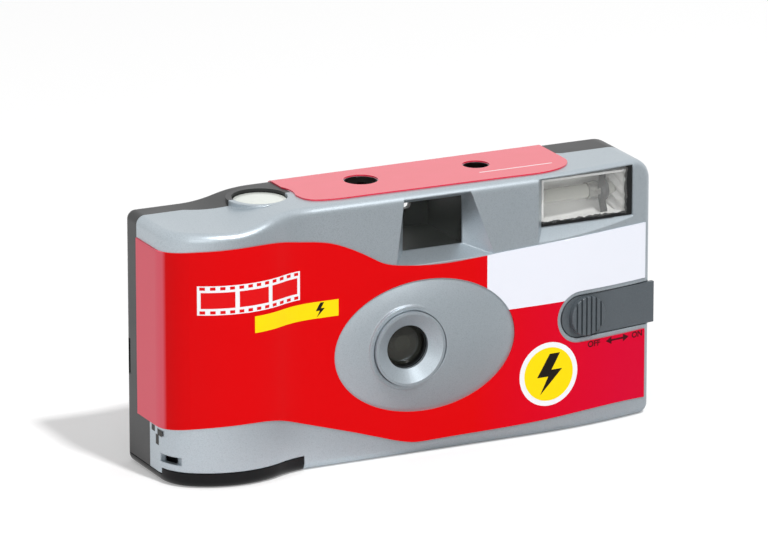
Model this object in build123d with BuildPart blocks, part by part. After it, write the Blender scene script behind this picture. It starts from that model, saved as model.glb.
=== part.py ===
"""Single-use 35 mm film camera with a built-in flash, piece by piece, in millimetres.

X runs to the right as seen from the front, the lens looks along -Y, and Z is up from the base.
"""
import math
import os

from build123d import *

os.makedirs("parts", exist_ok=True)

up = (0, 0, 1)
forward = (0, -1, 0)
rightward = (1, 0, 0)
full_turn = 360.0
overrun = 1.0

# Body form: a flat front with a round nose over the film cartridge and a low shoulder at its top
body_width = 119.6
body_left_x = -59.0
body_height = 60.0
body_depth = 24.7
wall = 1.4
nose_radius = 20.9
nose_proud = 4.0
nose_blend = 20.0
nose_corner_round = 10.0
flat_end_x = 28.0
sweep_radius = 131.0
shoulder_drop = 2.2
shoulder_run = 16.5
shoulder_start_x = -30.0
top_right_round = 5.0
bottom_round = 2.4
edge_round = 2.0
back_round = 1.8
body_right_x = body_left_x + body_width
front_y = -body_depth / 2
back_y = body_depth / 2
inner_back_y = back_y - wall

# Film and cartridge
film_width = 35.0
film_thickness = 0.15
picture_width = 36.0
picture_height = 24.0
perforation_pitch = 4.75
perforation_length = 1.98
perforation_height = 2.8
perforation_margin = 2.0
can_radius = 12.5
can_height = 46.0
can_wall = 0.35
can_x = -42.7
can_front_gap = 0.9
chamber_gap = 0.4
pressure_gap = 1.25
film_gap = 0.15
turning_gap = 0.3
shaft_gap = 0.05
seam_gap = 0.2
can_y = front_y - nose_proud + wall + can_front_gap + can_radius
film_front_y = inner_back_y - pressure_gap - film_thickness
chamber_radius = can_radius + chamber_gap

# Lens and shutter
lens_x = -2.8
lens_z = 25.8
dome_x = 2.2
dome_z = 25.2
dome_half_width = 21.9
dome_half_height = 14.9
dome_proud = 3.95
ring_radius = 8.5
ring_sunk = 0.5
ring_gap = 0.15
bowl_depth = 1.75
eye_radius = 5.0
taking_lens_radius = 4.6
stop_radius = 1.8
can_bottom = lens_z - can_height / 2
can_top = can_bottom + can_height
film_bottom = lens_z - film_width / 2
film_top = film_bottom + film_width

# Viewfinder, with its window set back at the bottom of a flared recess
finder_x = 6.4
finder_drop = 8.6
finder_width = 14.4
finder_height = 10.9
finder_y = -7.4
finder_wall = 0.9
finder_flare_left = 4.0
finder_flare_right = 5.9
finder_flare_lean = 5.9
finder_flare_down = 2.2
finder_flare_up = 2.2

# Flash
flash_x = 44.05
flash_drop = 6.7
flash_width = 22.7
flash_height = 11.6
flash_y = -9.0
flash_flare_side = 2.4
flash_flare_down = 2.6
flash_flare_up = 0.3
window_thickness = 1.0
finder_z = body_height - finder_drop
flash_z = body_height - flash_drop

# Controls on the top and the front
button_x = -31.4
button_y = 1.5
button_radius = 5.9
button_travel = 1.0
counter_hole_x = -6.15
hole_y = 2.8
counter_hole_radius = 3.6
lamp_x = 22.2
lamp_y = 2.7
lamp_hole_radius = 2.75
switch_x = 42.7
switch_z = 26.3
switch_left_x = 36.0
switch_radius = 5.0
switch_travel = 5.0
switch_depth = 0.8
switch_plate = 0.9
switch_slope = 8.35

# Parting line between the front and back covers, and the film door
parting_left_y = 6.0
parting_middle_y = 8.0
parting_right_y = 3.3
parting_heel_y = -0.2
parting_heel_height = 13.8
door_x = -27.3
door_side_height = 2.3
door_front_height = 3.6
door_lip_back_y = -6.0


def brick(x_span, y_span, z_span, mode=Mode.ADD):
    """Rectangular solid between limits on each axis, put into the part being built."""
    spans = (x_span, y_span, z_span)
    with Locations(tuple((low + high) / 2 for low, high in spans)):
        Box(*(high - low for low, high in spans), mode=mode)


def rod(base, way, length, radius, mode=Mode.ADD):
    """Round solid standing on its base point, put into the part being built."""
    with Locations(Plane(origin=base, z_dir=way)):
        Cylinder(radius, length, align=(Align.CENTER, Align.CENTER, Align.MIN), mode=mode)


def facing(y):
    """Plane square to the lens axis at this depth; a sketch on it extrudes forwards."""
    return Plane.XZ.offset(-y)


# Values that the body form is worked out from
nose_y = front_y - nose_proud + nose_radius
blend_y = front_y - nose_blend
nose_reach = nose_radius + nose_blend
blend_x = can_x + math.sqrt(nose_reach**2 - (nose_y - blend_y) ** 2)
shoulder_turn = math.degrees(2 * math.atan(shoulder_drop / shoulder_run))
shoulder_radius = shoulder_run / 2 / math.sin(math.radians(shoulder_turn))
front_lean_share = 0.2


def body_block(inset):
    """Outer form of the camera as one solid, drawn in from its surface by inset."""
    left = body_left_x + inset
    right = body_right_x - inset
    front = front_y + inset
    back = back_y - inset
    top = body_height - inset
    blend_turn = math.degrees(math.acos((nose_y - blend_y) / nose_reach))
    side_turn = math.degrees(math.asin((can_x - left) / (nose_radius - inset)))
    sweep_turn = math.degrees(math.asin((right - flat_end_x) / (sweep_radius - inset)))
    with BuildPart(mode=Mode.PRIVATE) as block:
        with BuildSketch(Plane.XY.offset(inset)) as plan:
            with BuildLine():
                flat = Line((flat_end_x, front), (blend_x, front))
                hollow = JernArc(flat @ 1, (-1, 0), nose_blend + inset, blend_turn)
                nose = JernArc(hollow @ 1, hollow % 1, nose_radius - inset, -blend_turn - side_turn)
                sweep_line = JernArc(flat @ 0, (1, 0), sweep_radius - inset, sweep_turn)
                Polyline(nose @ 1, (left, back), (right, back), sweep_line @ 1)
            make_face()
            fillet(plan.vertices().group_by(Axis.X)[0].sort_by(Axis.Y)[0], nose_corner_round - inset)
        extrude(amount=top - inset)
        with BuildSketch(Plane.XZ) as outline:
            with BuildLine():
                level = Line((right, top), (shoulder_start_x, top))
                crest = JernArc(level @ 1, (-1, 0), shoulder_radius - inset, shoulder_turn)
                dip = JernArc(crest @ 1, crest % 1, shoulder_radius + inset, -shoulder_turn)
                Polyline(dip @ 1, (left, (dip @ 1).Y), (left, inset), (right, inset), level @ 0)
            make_face()
            fillet(outline.vertices().group_by(Axis.X)[-1].sort_by(Axis.Y)[-1], top_right_round - inset)
            fillet(outline.vertices().group_by(Axis.X)[-1].sort_by(Axis.Y)[0], bottom_round - inset)
        extrude(amount=body_width, both=True, mode=Mode.INTERSECT)
        fronts = block.faces().filter_by(lambda face: face.normal_at().Y < -front_lean_share)
        uprights = fronts.edges().filter_by(Axis.Z).sort_by(Axis.X).group_by(Axis.X)[:-1]
        seams = ShapeList(edge for group in uprights for edge in group)
        side = block.faces().sort_by(Axis.X)[0]
        fillet(fronts.edges() - seams + side.edges().filter_by(Axis.Y), edge_round - inset)
        fillet(block.edges().group_by(Axis.Y)[-1], back_round - inset)
    return block.part


def lens_dome(inset):
    """Shallow oval swelling round the lens, with a short skirt behind it, set back by inset."""
    half = dome_half_width - inset
    radius = (half**2 + dome_proud**2) / (2 * dome_proud)
    turn = math.degrees(math.asin(half / radius))
    with BuildPart(mode=Mode.PRIVATE) as dome:
        with BuildSketch(Plane.XY):
            with BuildLine():
                crown = JernArc((0, -dome_proud), (1, 0), radius, turn)
                Polyline(crown @ 1, (half, wall / 2), (0, wall / 2), crown @ 0)
            make_face()
        revolve(axis=Axis.Y)
        scale(by=(1, 1, dome_half_height / dome_half_width))
    return Pos(dome_x, front_y + inset, dome_z) * dome.part


def four_corners(x, z, width, height, grow=0.0):
    """Corners of an upright rectangle, lower left first, widened all round by grow."""
    half_x = width / 2 + grow
    half_z = height / 2 + grow
    left, right = x - half_x, x + half_x
    low, high = z - half_z, z + half_z
    return [(left, low), (right, low), (right, high), (left, high)]


def tapered_block(front, front_corners, back, back_corners):
    """Solid between two upright four-cornered outlines at different depths."""
    with BuildPart(mode=Mode.PRIVATE) as block:
        for depth, corners in ((front, front_corners), (back, back_corners)):
            with BuildSketch(facing(depth)):
                with BuildLine():
                    Polyline(*corners, close=True)
                make_face()
        loft()
    return block.part


def finder_recess(grow):
    """Flared recess in front of the viewfinder window; its right side leans."""
    left, low = finder_x - finder_width / 2, finder_z - finder_height / 2
    right, high = finder_x + finder_width / 2, finder_z + finder_height / 2
    mouth = [
        (left - finder_flare_left - grow, low - finder_flare_down - grow),
        (right + finder_flare_right + grow, low - finder_flare_down - grow),
        (right + finder_flare_right - finder_flare_lean + grow, high + finder_flare_up + grow),
        (left - finder_flare_left + finder_flare_left / 2 - grow, high + finder_flare_up + grow),
    ]
    window = four_corners(finder_x, finder_z, finder_width, finder_height, grow)
    return tapered_block(front_y, mouth, finder_y, window)


def flash_recess(grow):
    """Flared recess in front of the flash window."""
    left, low = flash_x - flash_width / 2, flash_z - flash_height / 2
    right, high = flash_x + flash_width / 2, flash_z + flash_height / 2
    mouth = [
        (left - flash_flare_side - grow, low - flash_flare_down - grow),
        (right + flash_flare_side / 2 + grow, low - flash_flare_down - grow),
        (right + flash_flare_side / 2 + grow, high + flash_flare_up + grow),
        (left - flash_flare_side - grow, high + flash_flare_up + grow),
    ]
    window = four_corners(flash_x, flash_z, flash_width, flash_height, grow)
    return tapered_block(front_y, mouth, flash_y, window)


# Switch track: a flat plane that follows the sweep of the front towards the right side
switch_rise = math.radians(switch_slope)
switch_left_y = front_y + (switch_left_x - flat_end_x) ** 2 / (2 * sweep_radius)
switch_floor = Plane(
    origin=(switch_left_x, switch_left_y + switch_depth, switch_z),
    x_dir=(math.cos(switch_rise), math.sin(switch_rise), 0),
    z_dir=(math.sin(switch_rise), -math.cos(switch_rise), 0),
)
switch_reach = (body_right_x - switch_left_x) / math.cos(switch_rise)
grip_along = (switch_x - switch_left_x) / math.cos(switch_rise)


def switch_pill(lift, start, end, radius, thickness):
    """Plate with a round left end and a square right end, lifted off the track's floor."""
    with BuildPart(mode=Mode.PRIVATE) as pill:
        with BuildSketch(switch_floor.offset(lift)):
            with Locations((start + radius, 0)):
                Circle(radius)
            with Locations(((start + radius + end) / 2, 0)):
                Rectangle(end - start - radius, 2 * radius)
        extrude(amount=thickness)
    return pill.part


outer_form = body_block(0)
inner_form = body_block(wall)
outer_dome = lens_dome(0)
inner_dome = lens_dome(wall)

# Front cover: moulded silver shell with the lens dome, the recesses, a lens cup and a button collar
recess_wall = 1.2
cup_wall = 1.0
cup_floor = 0.8
collar_width = 1.3
collar_depth = 3.4
button_gap = 0.3
barrel_gap = 0.2
barrel_radius = 6.2
stem_slot_height = 3.6
stem_width = 3.0
track_backing = 0.9
parting_slope_x = 10.0
parting_button_run = 9.0
snap_slot_x = 36.7
snap_slot_width = 4.0
snap_slot_height = 1.1
latch_slot_right_x = -56.3
latch_slot_back_y = -5.6
latch_slot_low = 5.0
latch_slot_height = 1.8
ring_front_y = front_y - dome_proud + ring_sunk
ring_back_y = ring_front_y + bowl_depth + cup_floor
cup_back_y = ring_back_y + cup_floor
cup_front_y = front_y - dome_proud + wall
cup_radius = ring_radius + ring_gap
collar_radius = button_radius + button_gap
collar_outer = collar_radius + collar_width
far_x = body_width
far_y = body_width
finder_form = finder_recess(0)
finder_wall_form = finder_recess(recess_wall)
flash_form = flash_recess(0)
flash_wall_form = flash_recess(recess_wall)
track_form = switch_pill(0, 0, switch_reach + overrun, switch_radius, wall + overrun)
track_wall_radius = switch_radius + wall
track_wall_depth = wall + track_backing
track_wall_form = switch_pill(
    -track_backing, -track_backing, switch_reach, track_wall_radius, track_wall_depth
)

with BuildPart() as shell_form:
    add(outer_form)
    add(outer_dome)

# Everything in front of the parting line, which steps back round the button and the counter
with BuildPart() as front_zone:
    with BuildSketch(Plane.XY.offset(-overrun)):
        with BuildLine():
            Polyline(
                (-far_x, -far_y),
                (far_x, -far_y),
                (far_x, parting_right_y),
                (flash_x, parting_right_y),
                (flash_x - parting_slope_x, parting_middle_y),
                (button_x + collar_outer, parting_middle_y),
                (button_x + collar_outer, button_y),
                (button_x - collar_outer, button_y),
                (button_x - collar_outer - parting_button_run, parting_left_y),
                (-far_x, parting_left_y),
                close=True,
            )
        make_face()
    extrude(amount=body_height + 2 * overrun)
    heel_span = (-far_x, body_left_x + wall + overrun)
    brick(heel_span, (parting_heel_y, far_y), (-far_y, parting_heel_height), Mode.SUBTRACT)

with BuildPart() as front_cover:
    add(shell_form.part)
    add(inner_form, mode=Mode.SUBTRACT)
    add(inner_dome, mode=Mode.SUBTRACT)
    add(finder_wall_form)
    add(flash_wall_form)
    add(track_wall_form)
    add(shell_form.part, mode=Mode.INTERSECT)
    rod((lens_x, cup_back_y, lens_z), forward, cup_back_y - cup_front_y, cup_radius + cup_wall)
    rod((button_x, button_y, body_height - collar_depth), up, collar_depth, collar_outer)
    add(front_zone.part, mode=Mode.INTERSECT)
    add(finder_form, mode=Mode.SUBTRACT)
    add(flash_form, mode=Mode.SUBTRACT)
    add(track_form, mode=Mode.SUBTRACT)
    brick(
        (finder_x - finder_width / 2, finder_x + finder_width / 2),
        (finder_y - overrun, finder_y + overrun),
        (finder_z - finder_height / 2, finder_z + finder_height / 2),
        Mode.SUBTRACT,
    )
    brick(
        (flash_x - flash_width / 2, flash_x + flash_width / 2),
        (flash_y - overrun, flash_y + wall),
        (flash_z - flash_height / 2, flash_z + flash_height / 2),
        Mode.SUBTRACT,
    )
    with BuildSketch(switch_floor.offset(-wall)):
        with Locations((grip_along + switch_travel / 2, 0)):
            Rectangle(stem_width + switch_travel + 2 * button_gap, stem_slot_height)
    extrude(amount=2 * wall, mode=Mode.SUBTRACT)
    rod((lens_x, ring_back_y, lens_z), forward, far_y, cup_radius, Mode.SUBTRACT)
    rod((lens_x, front_y + far_y, lens_z), forward, 2 * far_y, barrel_radius + barrel_gap, Mode.SUBTRACT)
    rod((button_x, button_y, body_height / 2), up, far_y, collar_radius, Mode.SUBTRACT)
    rod((counter_hole_x, hole_y, body_height - wall - overrun), up, far_y, counter_hole_radius, Mode.SUBTRACT)
    rod((lamp_x, lamp_y, body_height - wall - overrun), up, far_y, lamp_hole_radius, Mode.SUBTRACT)
    brick(
        (snap_slot_x - snap_slot_width / 2, snap_slot_x + snap_slot_width / 2),
        (-far_y, front_y + wall / 2),
        (-overrun, snap_slot_height),
        Mode.SUBTRACT,
    )
    brick(
        (-far_x, latch_slot_right_x),
        (-far_y, latch_slot_back_y),
        (latch_slot_low, latch_slot_low + latch_slot_height),
        Mode.SUBTRACT,
    )
    brick((-far_x, door_x), (-far_y, far_y), (-overrun, door_side_height), Mode.SUBTRACT)
    brick((-far_x, door_x), (-far_y, door_lip_back_y), (-overrun, door_front_height), Mode.SUBTRACT)
front_cover.part.label = "front_cover"
export_step(front_cover.part, "parts/front_cover.step")

# Back cover: moulded black shell with the thumb scoop, the eyepiece hole, film ribs and a strap notch
scoop_width = 24.0
scoop_low = 50.15
scoop_high = 56.4
scoop_flare = 2.0
scoop_depth = 2.15
scoop_wall = 1.0
wheel_proud = 0.5
wheel_low = 50.5
wheel_height = 3.9
wheel_gap = 0.3
eyepiece_width = 7.2
eyepiece_rise = 3.6
eyepiece_corner = 0.7
film_rib_width = 1.5
film_rib_gap = 0.2
notch_low = 20.5
notch_height = 8.2
notch_width = 2.4
notch_depth = 2.3
notch_bar = 1.0
eyepiece_setback = 0.5
eyepiece_low = finder_z - finder_height / 2 + eyepiece_rise
eyepiece_height = finder_height - eyepiece_rise
eyepiece_z = eyepiece_low + eyepiece_height / 2
scoop_z = (scoop_low + scoop_high) / 2
scoop_height = scoop_high - scoop_low
scoop_floor_y = back_y - scoop_depth
wheel_radius = can_radius + wheel_proud
wheel_room = wheel_height + 2 * wheel_gap
scoop_mouth = four_corners(can_x, scoop_z, scoop_width, scoop_height, scoop_flare / 2)
scoop_foot = four_corners(can_x, scoop_z, scoop_width - 2 * scoop_flare, scoop_height)
scoop_form = tapered_block(scoop_floor_y, scoop_foot, back_y, scoop_mouth)
scoop_shell = tapered_block(
    scoop_floor_y - scoop_wall,
    four_corners(can_x, scoop_z, scoop_width - 2 * scoop_flare, scoop_height, scoop_wall),
    back_y,
    four_corners(can_x, scoop_z, scoop_width, scoop_height, scoop_wall),
)

with BuildPart() as back_cover:
    add(outer_form)
    add(inner_form, mode=Mode.SUBTRACT)
    add(scoop_shell)
    for rib_z in (film_bottom + film_rib_width, film_top - film_rib_width):
        brick(
            (lens_x - picture_width / 2, lens_x + picture_width / 2),
            (film_front_y + film_thickness + film_rib_gap, inner_back_y),
            (rib_z - film_rib_width / 2, rib_z + film_rib_width / 2),
        )
    add(outer_form, mode=Mode.INTERSECT)
    rod((button_x, button_y, body_height - collar_depth), up, collar_depth, collar_outer)
    rod((can_x, can_y, -overrun), up, can_top + overrun + seam_gap, chamber_radius, Mode.SUBTRACT)
    add(scoop_form, mode=Mode.SUBTRACT)
    rod((can_x, can_y, wheel_low - wheel_gap), up, wheel_room, wheel_radius + wheel_gap, Mode.SUBTRACT)
    with BuildSketch(facing(back_y + overrun)):
        with Locations((finder_x, eyepiece_z)):
            RectangleRounded(eyepiece_width, eyepiece_height, eyepiece_corner)
    extrude(amount=wall + 2 * overrun, mode=Mode.SUBTRACT)
    brick(
        (body_left_x - overrun, body_left_x + notch_depth),
        (back_y - notch_width, back_y - notch_bar),
        (notch_low, notch_low + notch_height),
        Mode.SUBTRACT,
    )
    brick(
        (body_left_x + wall / 2, body_left_x + notch_depth),
        (back_y - notch_width, back_y + overrun),
        (notch_low, notch_low + notch_height),
        Mode.SUBTRACT,
    )
    add(front_zone.part, mode=Mode.SUBTRACT)
    rod((button_x, button_y, body_height / 2), up, far_y, collar_radius, Mode.SUBTRACT)
    brick((-far_x, door_x), (-far_y, far_y), (-overrun, door_side_height), Mode.SUBTRACT)
back_cover.part.label = "back_cover"
export_step(back_cover.part, "parts/back_cover.step")

# Film door: black moulded tray under the cartridge, hinged on its thin inner edge
nub_radius = 3.1
door_ring_height = 0.8
door_ring_width = 1.0

with BuildPart() as door_zone:
    door_span = (-far_x, door_x - seam_gap)
    brick(door_span, (-far_y, far_y), (-overrun, door_side_height - seam_gap))
    brick(door_span, (-far_y, door_lip_back_y - seam_gap), (-overrun, door_front_height - seam_gap))

with BuildPart() as film_door:
    add(outer_form)
    add(inner_form, mode=Mode.SUBTRACT)
    add(door_zone.part, mode=Mode.INTERSECT)
    rod((can_x, can_y, wall), up, door_ring_height, nub_radius + chamber_gap + door_ring_width)
    rod((can_x, can_y, wall), up, door_ring_height + overrun, nub_radius + chamber_gap, Mode.SUBTRACT)
film_door.part.label = "film_door"
export_step(film_door.part, "parts/film_door.step")

# Main frame: black moulded chassis with the film gate, chambers, deck, battery cradle and finder tunnel
gate_thickness = 1.2
deck_thickness = 1.5
frame_wall = 1.0
frame_gap = 0.1
deck_gap = 0.4
core_radius = 3.5
roll_radius = 7.6
supply_x = 42.0
spool_pin_radius = 2.0
supply_wall_gap = 1.9
battery_radius = 7.25
battery_length = 49.2
battery_nub_radius = 2.7
battery_nub_length = 1.3
battery_left_x = -26.8
battery_y = -3.4
battery_gap = 0.35
contact_room = 1.5
cradle_wall = 0.6
stop_plate_y = -8.2
stop_plate_left = -17.5
stop_plate_right = 15.5
stop_plate_low = 16.6
light_hole_radius = 2.6
sprocket_teeth = 8
tooth_gap = 0.12
gear_distance = 10.8
counter_x = -11.6
counter_y = 1.1
sprocket_y = 2.8
shaft_radius = 1.5
post_radius = 1.2
post_top = 57.9
counter_low = 57.0
counter_thickness = 0.7
counter_ring_low = 55.2
lever_x = -27.6
lever_y = -5.6
lever_pin_radius = 0.9
lever_seat_radius = 1.6
lever_top = 54.4
blade_pin_x = -9.5
blade_pin_z = 36.0
blade_pin_radius = 0.9
blade_gap = 0.4
blade_thickness = 0.3
holder_gap = 0.3
holder_thickness = 0.7
spacer_radius = 1.2
lamp_radius = 1.9
lamp_post_wall = 0.6
lamp_post_height = 6.3
gate_back_y = film_front_y - film_gap
gate_front_y = gate_back_y - gate_thickness
deck_bottom = film_top + deck_gap
deck_top = deck_bottom + deck_thickness
supply_y = film_front_y - turning_gap - roll_radius
supply_left = supply_x - roll_radius - supply_wall_gap
supply_right = supply_x + roll_radius + supply_wall_gap
supply_front_y = supply_y - roll_radius - turning_gap
battery_z = wall + battery_gap + battery_radius
battery_right_x = battery_left_x + battery_length + battery_nub_length
cradle_left = battery_left_x - contact_room
cradle_right = battery_right_x + contact_room
roof_low = can_top + wheel_gap
roof_top = roof_low + frame_wall
chamber_outer = chamber_radius + frame_wall
chamber_left = can_x + chamber_radius / 2
sprocket_x = counter_x - math.sqrt(gear_distance**2 - (sprocket_y - counter_y) ** 2)
tooth_radius = film_front_y - tooth_gap - sprocket_y
sprocket_z = film_top - perforation_margin - perforation_height / 2
sprocket_thickness = 1.6
plate_back_y = stop_plate_y + frame_wall
blade_back_y = stop_plate_y - blade_gap
blade_front_y = blade_back_y - blade_thickness
holder_back_y = blade_front_y - holder_gap
holder_front_y = holder_back_y - holder_thickness
holder_left = stop_plate_left
holder_right = stop_plate_right - 2 * frame_wall
holder_low = stop_plate_low + frame_wall
holder_high = 43.0
spacer_inset = 2.0
tunnel_left = finder_x - finder_width / 2 - finder_wall
tunnel_right = finder_x + finder_width / 2 + finder_wall
tunnel_top = finder_z + finder_height / 2 + finder_wall
tunnel_front_y = finder_y + frame_gap
deck_right = flash_x + flash_width / 2 - 2 * frame_gap
reflector_low = flash_z - flash_height / 2 + frame_gap
reflector_wall = 0.5
reflector_back_y = -0.8
reflector_front_y = flash_y + window_thickness + frame_gap
rest_width = 1.2
roof_back_y = scoop_floor_y - scoop_wall - seam_gap
frame_clip = body_block(wall + frame_gap)
stop_plate_span = (stop_plate_left, stop_plate_right)
supply_depth = (supply_front_y - frame_wall, gate_back_y)
cradle_depth = (battery_y - battery_radius, gate_back_y)
pin_hole = frame_wall + deck_thickness + overrun

with BuildPart() as main_frame:
    below_roof = (-far_y, roof_low)
    rod((can_x, can_y, can_bottom), up, roof_top - can_bottom, chamber_outer)
    brick((-far_x, chamber_left), (-far_y, far_y), below_roof, Mode.SUBTRACT)
    brick((-far_x, far_x), (-far_y, stop_plate_y - lever_seat_radius), below_roof, Mode.SUBTRACT)
    brick((-far_x, far_x), (gate_front_y - can_wall - wall, far_y), below_roof, Mode.SUBTRACT)
    brick((door_x - frame_wall, supply_left + frame_wall), (gate_front_y, gate_back_y), (wall, deck_top))
    brick((chamber_left, deck_right), (plate_back_y, gate_back_y), (deck_bottom, deck_top))
    brick(stop_plate_span, (stop_plate_y, plate_back_y), (stop_plate_low, deck_bottom + deck_gap))
    rod((can_x, can_y, -overrun), up, roof_low + overrun, chamber_radius, Mode.SUBTRACT)
    rod((can_x, can_y, roof_low), up, frame_wall + overrun, nub_radius + shaft_gap, Mode.SUBTRACT)
    brick((-far_x, door_x), (roof_back_y, far_y), (roof_low - overrun, roof_top + overrun), Mode.SUBTRACT)
    brick((supply_left, supply_right), supply_depth, (wall, wall + frame_wall))
    brick((supply_left, supply_left + frame_wall), supply_depth, (wall, deck_top))
    brick((supply_right - frame_wall, supply_right), supply_depth, (wall, deck_top))
    brick((supply_left, supply_right), (supply_front_y - frame_wall, supply_front_y), (wall, deck_top))
    brick((cradle_left - cradle_wall, cradle_left), cradle_depth, (wall, stop_plate_low))
    brick((cradle_right, cradle_right + frame_wall), cradle_depth, (wall, stop_plate_low))
    brick(
        (cradle_left, cradle_right),
        (battery_y + battery_radius + battery_gap, battery_y + battery_radius + battery_gap + frame_wall),
        (wall, battery_z),
    )
    brick((tunnel_left, tunnel_right), (tunnel_front_y, gate_back_y), (deck_bottom, tunnel_top))
    brick(
        (tunnel_left + finder_wall, tunnel_right - finder_wall),
        (finder_y - overrun, gate_back_y + overrun),
        (finder_z - finder_height / 2, finder_z + finder_height / 2),
        Mode.SUBTRACT,
    )
    brick(
        (lens_x - picture_width / 2, lens_x + picture_width / 2),
        (gate_front_y - overrun, gate_back_y + overrun),
        (lens_z - picture_height / 2, lens_z + picture_height / 2),
        Mode.SUBTRACT,
    )
    for rest_x in (flash_x - flash_width / 2 + rest_width, deck_right - rest_width / 2):
        brick(
            (rest_x - rest_width / 2, rest_x + rest_width / 2),
            (reflector_front_y + frame_wall, reflector_back_y),
            (deck_top, reflector_low),
        )
    rod((lamp_x, lamp_y, deck_top), up, lamp_post_height, lamp_radius + lamp_post_wall + shaft_gap)
    rod((lamp_x, lamp_y, deck_top), up, lamp_post_height + overrun, lamp_radius + shaft_gap, Mode.SUBTRACT)
    rod((counter_x, counter_y, deck_top), up, post_top - deck_top, post_radius)
    rod((lever_x, lever_y, deck_bottom), up, wheel_low - deck_bottom, lever_seat_radius)
    rod((lever_x, lever_y, deck_bottom), up, lever_top - deck_bottom, lever_pin_radius)
    rod((lens_x, plate_back_y + overrun, lens_z), forward, far_y, light_hole_radius, Mode.SUBTRACT)
    rod((blade_pin_x, plate_back_y, blade_pin_z), forward, plate_back_y - holder_back_y, blade_pin_radius)
    for spacer_x in (holder_left + spacer_inset, holder_right - spacer_inset):
        for spacer_z in (holder_low + spacer_inset, holder_high - spacer_inset):
            rod((spacer_x, plate_back_y, spacer_z), forward, plate_back_y - holder_back_y, spacer_radius)
    rod((sprocket_x, sprocket_y, deck_bottom - overrun), up, far_y, shaft_radius + shaft_gap, Mode.SUBTRACT)
    rod(
        (sprocket_x, sprocket_y, sprocket_z - sprocket_thickness / 2 - deck_gap),
        up,
        deck_bottom - sprocket_z + sprocket_thickness / 2 + deck_gap,
        tooth_radius + turning_gap,
        Mode.SUBTRACT,
    )
    for pin_z in (wall - overrun, deck_bottom - overrun):
        rod((supply_x, supply_y, pin_z), up, pin_hole, spool_pin_radius + shaft_gap, Mode.SUBTRACT)
    add(frame_clip, mode=Mode.INTERSECT)
main_frame.part.label = "main_frame"
export_step(main_frame.part, "parts/main_frame.step")


def bar(start, end, width):
    """Straight bar with round ends, put into the sketch being drawn."""
    turn = math.degrees(math.atan2(end[1] - start[1], end[0] - start[0]))
    with Locations(((start[0] + end[0]) / 2, (start[1] + end[1]) / 2)):
        SlotCenterToCenter(math.dist(start, end), width, rotation=turn)


def hairpin(plane, bend_radius, leg, first_leg_at, gape, wire):
    """Spring of square wire, most of a turn round a post, with two straight legs."""
    with BuildPart(mode=Mode.PRIVATE) as spring:
        with BuildSketch(plane):
            with BuildLine():
                turn = CenterArc((0, 0), bend_radius, first_leg_at, full_turn - gape)
                Line(turn @ 0, (turn @ 0) - leg * (turn % 0))
                Line(turn @ 1, (turn @ 1) + leg * (turn % 1))
            trace(line_width=wire)
        extrude(amount=wire)
    return spring.part


# Light tunnel: black moulded funnel from the stop plate to the film gate
tunnel_wall = 1.1
throat_width = 12.0
throat_height = 10.0
tunnel_form = tapered_block(
    plate_back_y,
    four_corners(lens_x, lens_z, throat_width, throat_height, tunnel_wall),
    gate_front_y,
    four_corners(lens_x, lens_z, picture_width, picture_height, tunnel_wall),
)
tunnel_bore = tapered_block(
    plate_back_y,
    four_corners(lens_x, lens_z, throat_width, throat_height),
    gate_front_y,
    four_corners(lens_x, lens_z, picture_width, picture_height),
)

with BuildPart() as light_tunnel:
    add(tunnel_form)
    add(tunnel_bore, mode=Mode.SUBTRACT)
light_tunnel.part.label = "light_tunnel"
export_step(light_tunnel.part, "parts/light_tunnel.step")

# Shutter blade: thin black leaf on a pin, with a paddle over the stop and a tab for the striker
paddle_radius = 3.6
blade_hub_radius = 2.2
blade_arm_width = 2.6
blade_tab_width = 2.0
blade_tab_reach = 8.7
blade_tab_lean = 1.6

with BuildPart() as shutter_blade:
    with BuildSketch(facing(blade_back_y)):
        with Locations((lens_x, lens_z)):
            Circle(paddle_radius)
        with Locations((blade_pin_x, blade_pin_z)):
            Circle(blade_hub_radius)
        bar((blade_pin_x, blade_pin_z), (lens_x, lens_z), blade_arm_width)
        bar(
            (blade_pin_x, blade_pin_z),
            (blade_pin_x - blade_tab_lean, blade_pin_z + blade_tab_reach),
            blade_tab_width,
        )
        with Locations((blade_pin_x, blade_pin_z)):
            Circle(blade_pin_radius + shaft_gap, mode=Mode.SUBTRACT)
    extrude(amount=blade_thickness)
shutter_blade.part.label = "shutter_blade"
export_step(shutter_blade.part, "parts/shutter_blade.step")

# Shutter spring: fine hairpin round the blade's pin
fine_wire = 0.15
shutter_spring_radius = 1.4
shutter_spring_leg = 6.0
shutter_leg_turn = 200.0
spring_gap = 0.05
spring_gape = 70.0
shutter_spring_plane = Plane(
    origin=(blade_pin_x, blade_front_y - spring_gap, blade_pin_z), x_dir=rightward, z_dir=forward
)

with BuildPart() as shutter_spring:
    add(
        hairpin(
            shutter_spring_plane,
            shutter_spring_radius,
            shutter_spring_leg,
            shutter_leg_turn,
            spring_gape,
            fine_wire,
        )
    )
shutter_spring.part.label = "shutter_spring"
export_step(shutter_spring.part, "parts/shutter_spring.step")

# Lens holder: black moulded plate on four spacers, with the stop and a barrel for the lens
barrel_setback = 0.2
lens_seat = 0.8
barrel_front_y = ring_back_y + barrel_setback
lens_back_y = holder_front_y - lens_seat
holder_corner = 1.5

with BuildPart() as lens_holder:
    with BuildSketch(facing(holder_back_y)):
        with Locations(((holder_left + holder_right) / 2, (holder_low + holder_high) / 2)):
            RectangleRounded(holder_right - holder_left, holder_high - holder_low, holder_corner)
    extrude(amount=holder_thickness)
    rod((lens_x, holder_front_y, lens_z), forward, holder_front_y - barrel_front_y, barrel_radius)
    rod((lens_x, lens_back_y, lens_z), forward, far_y, taking_lens_radius + shaft_gap, Mode.SUBTRACT)
    rod((lens_x, holder_back_y + overrun, lens_z), forward, far_y, stop_radius, Mode.SUBTRACT)
lens_holder.part.label = "lens_holder"
export_step(lens_holder.part, "parts/lens_holder.step")

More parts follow.
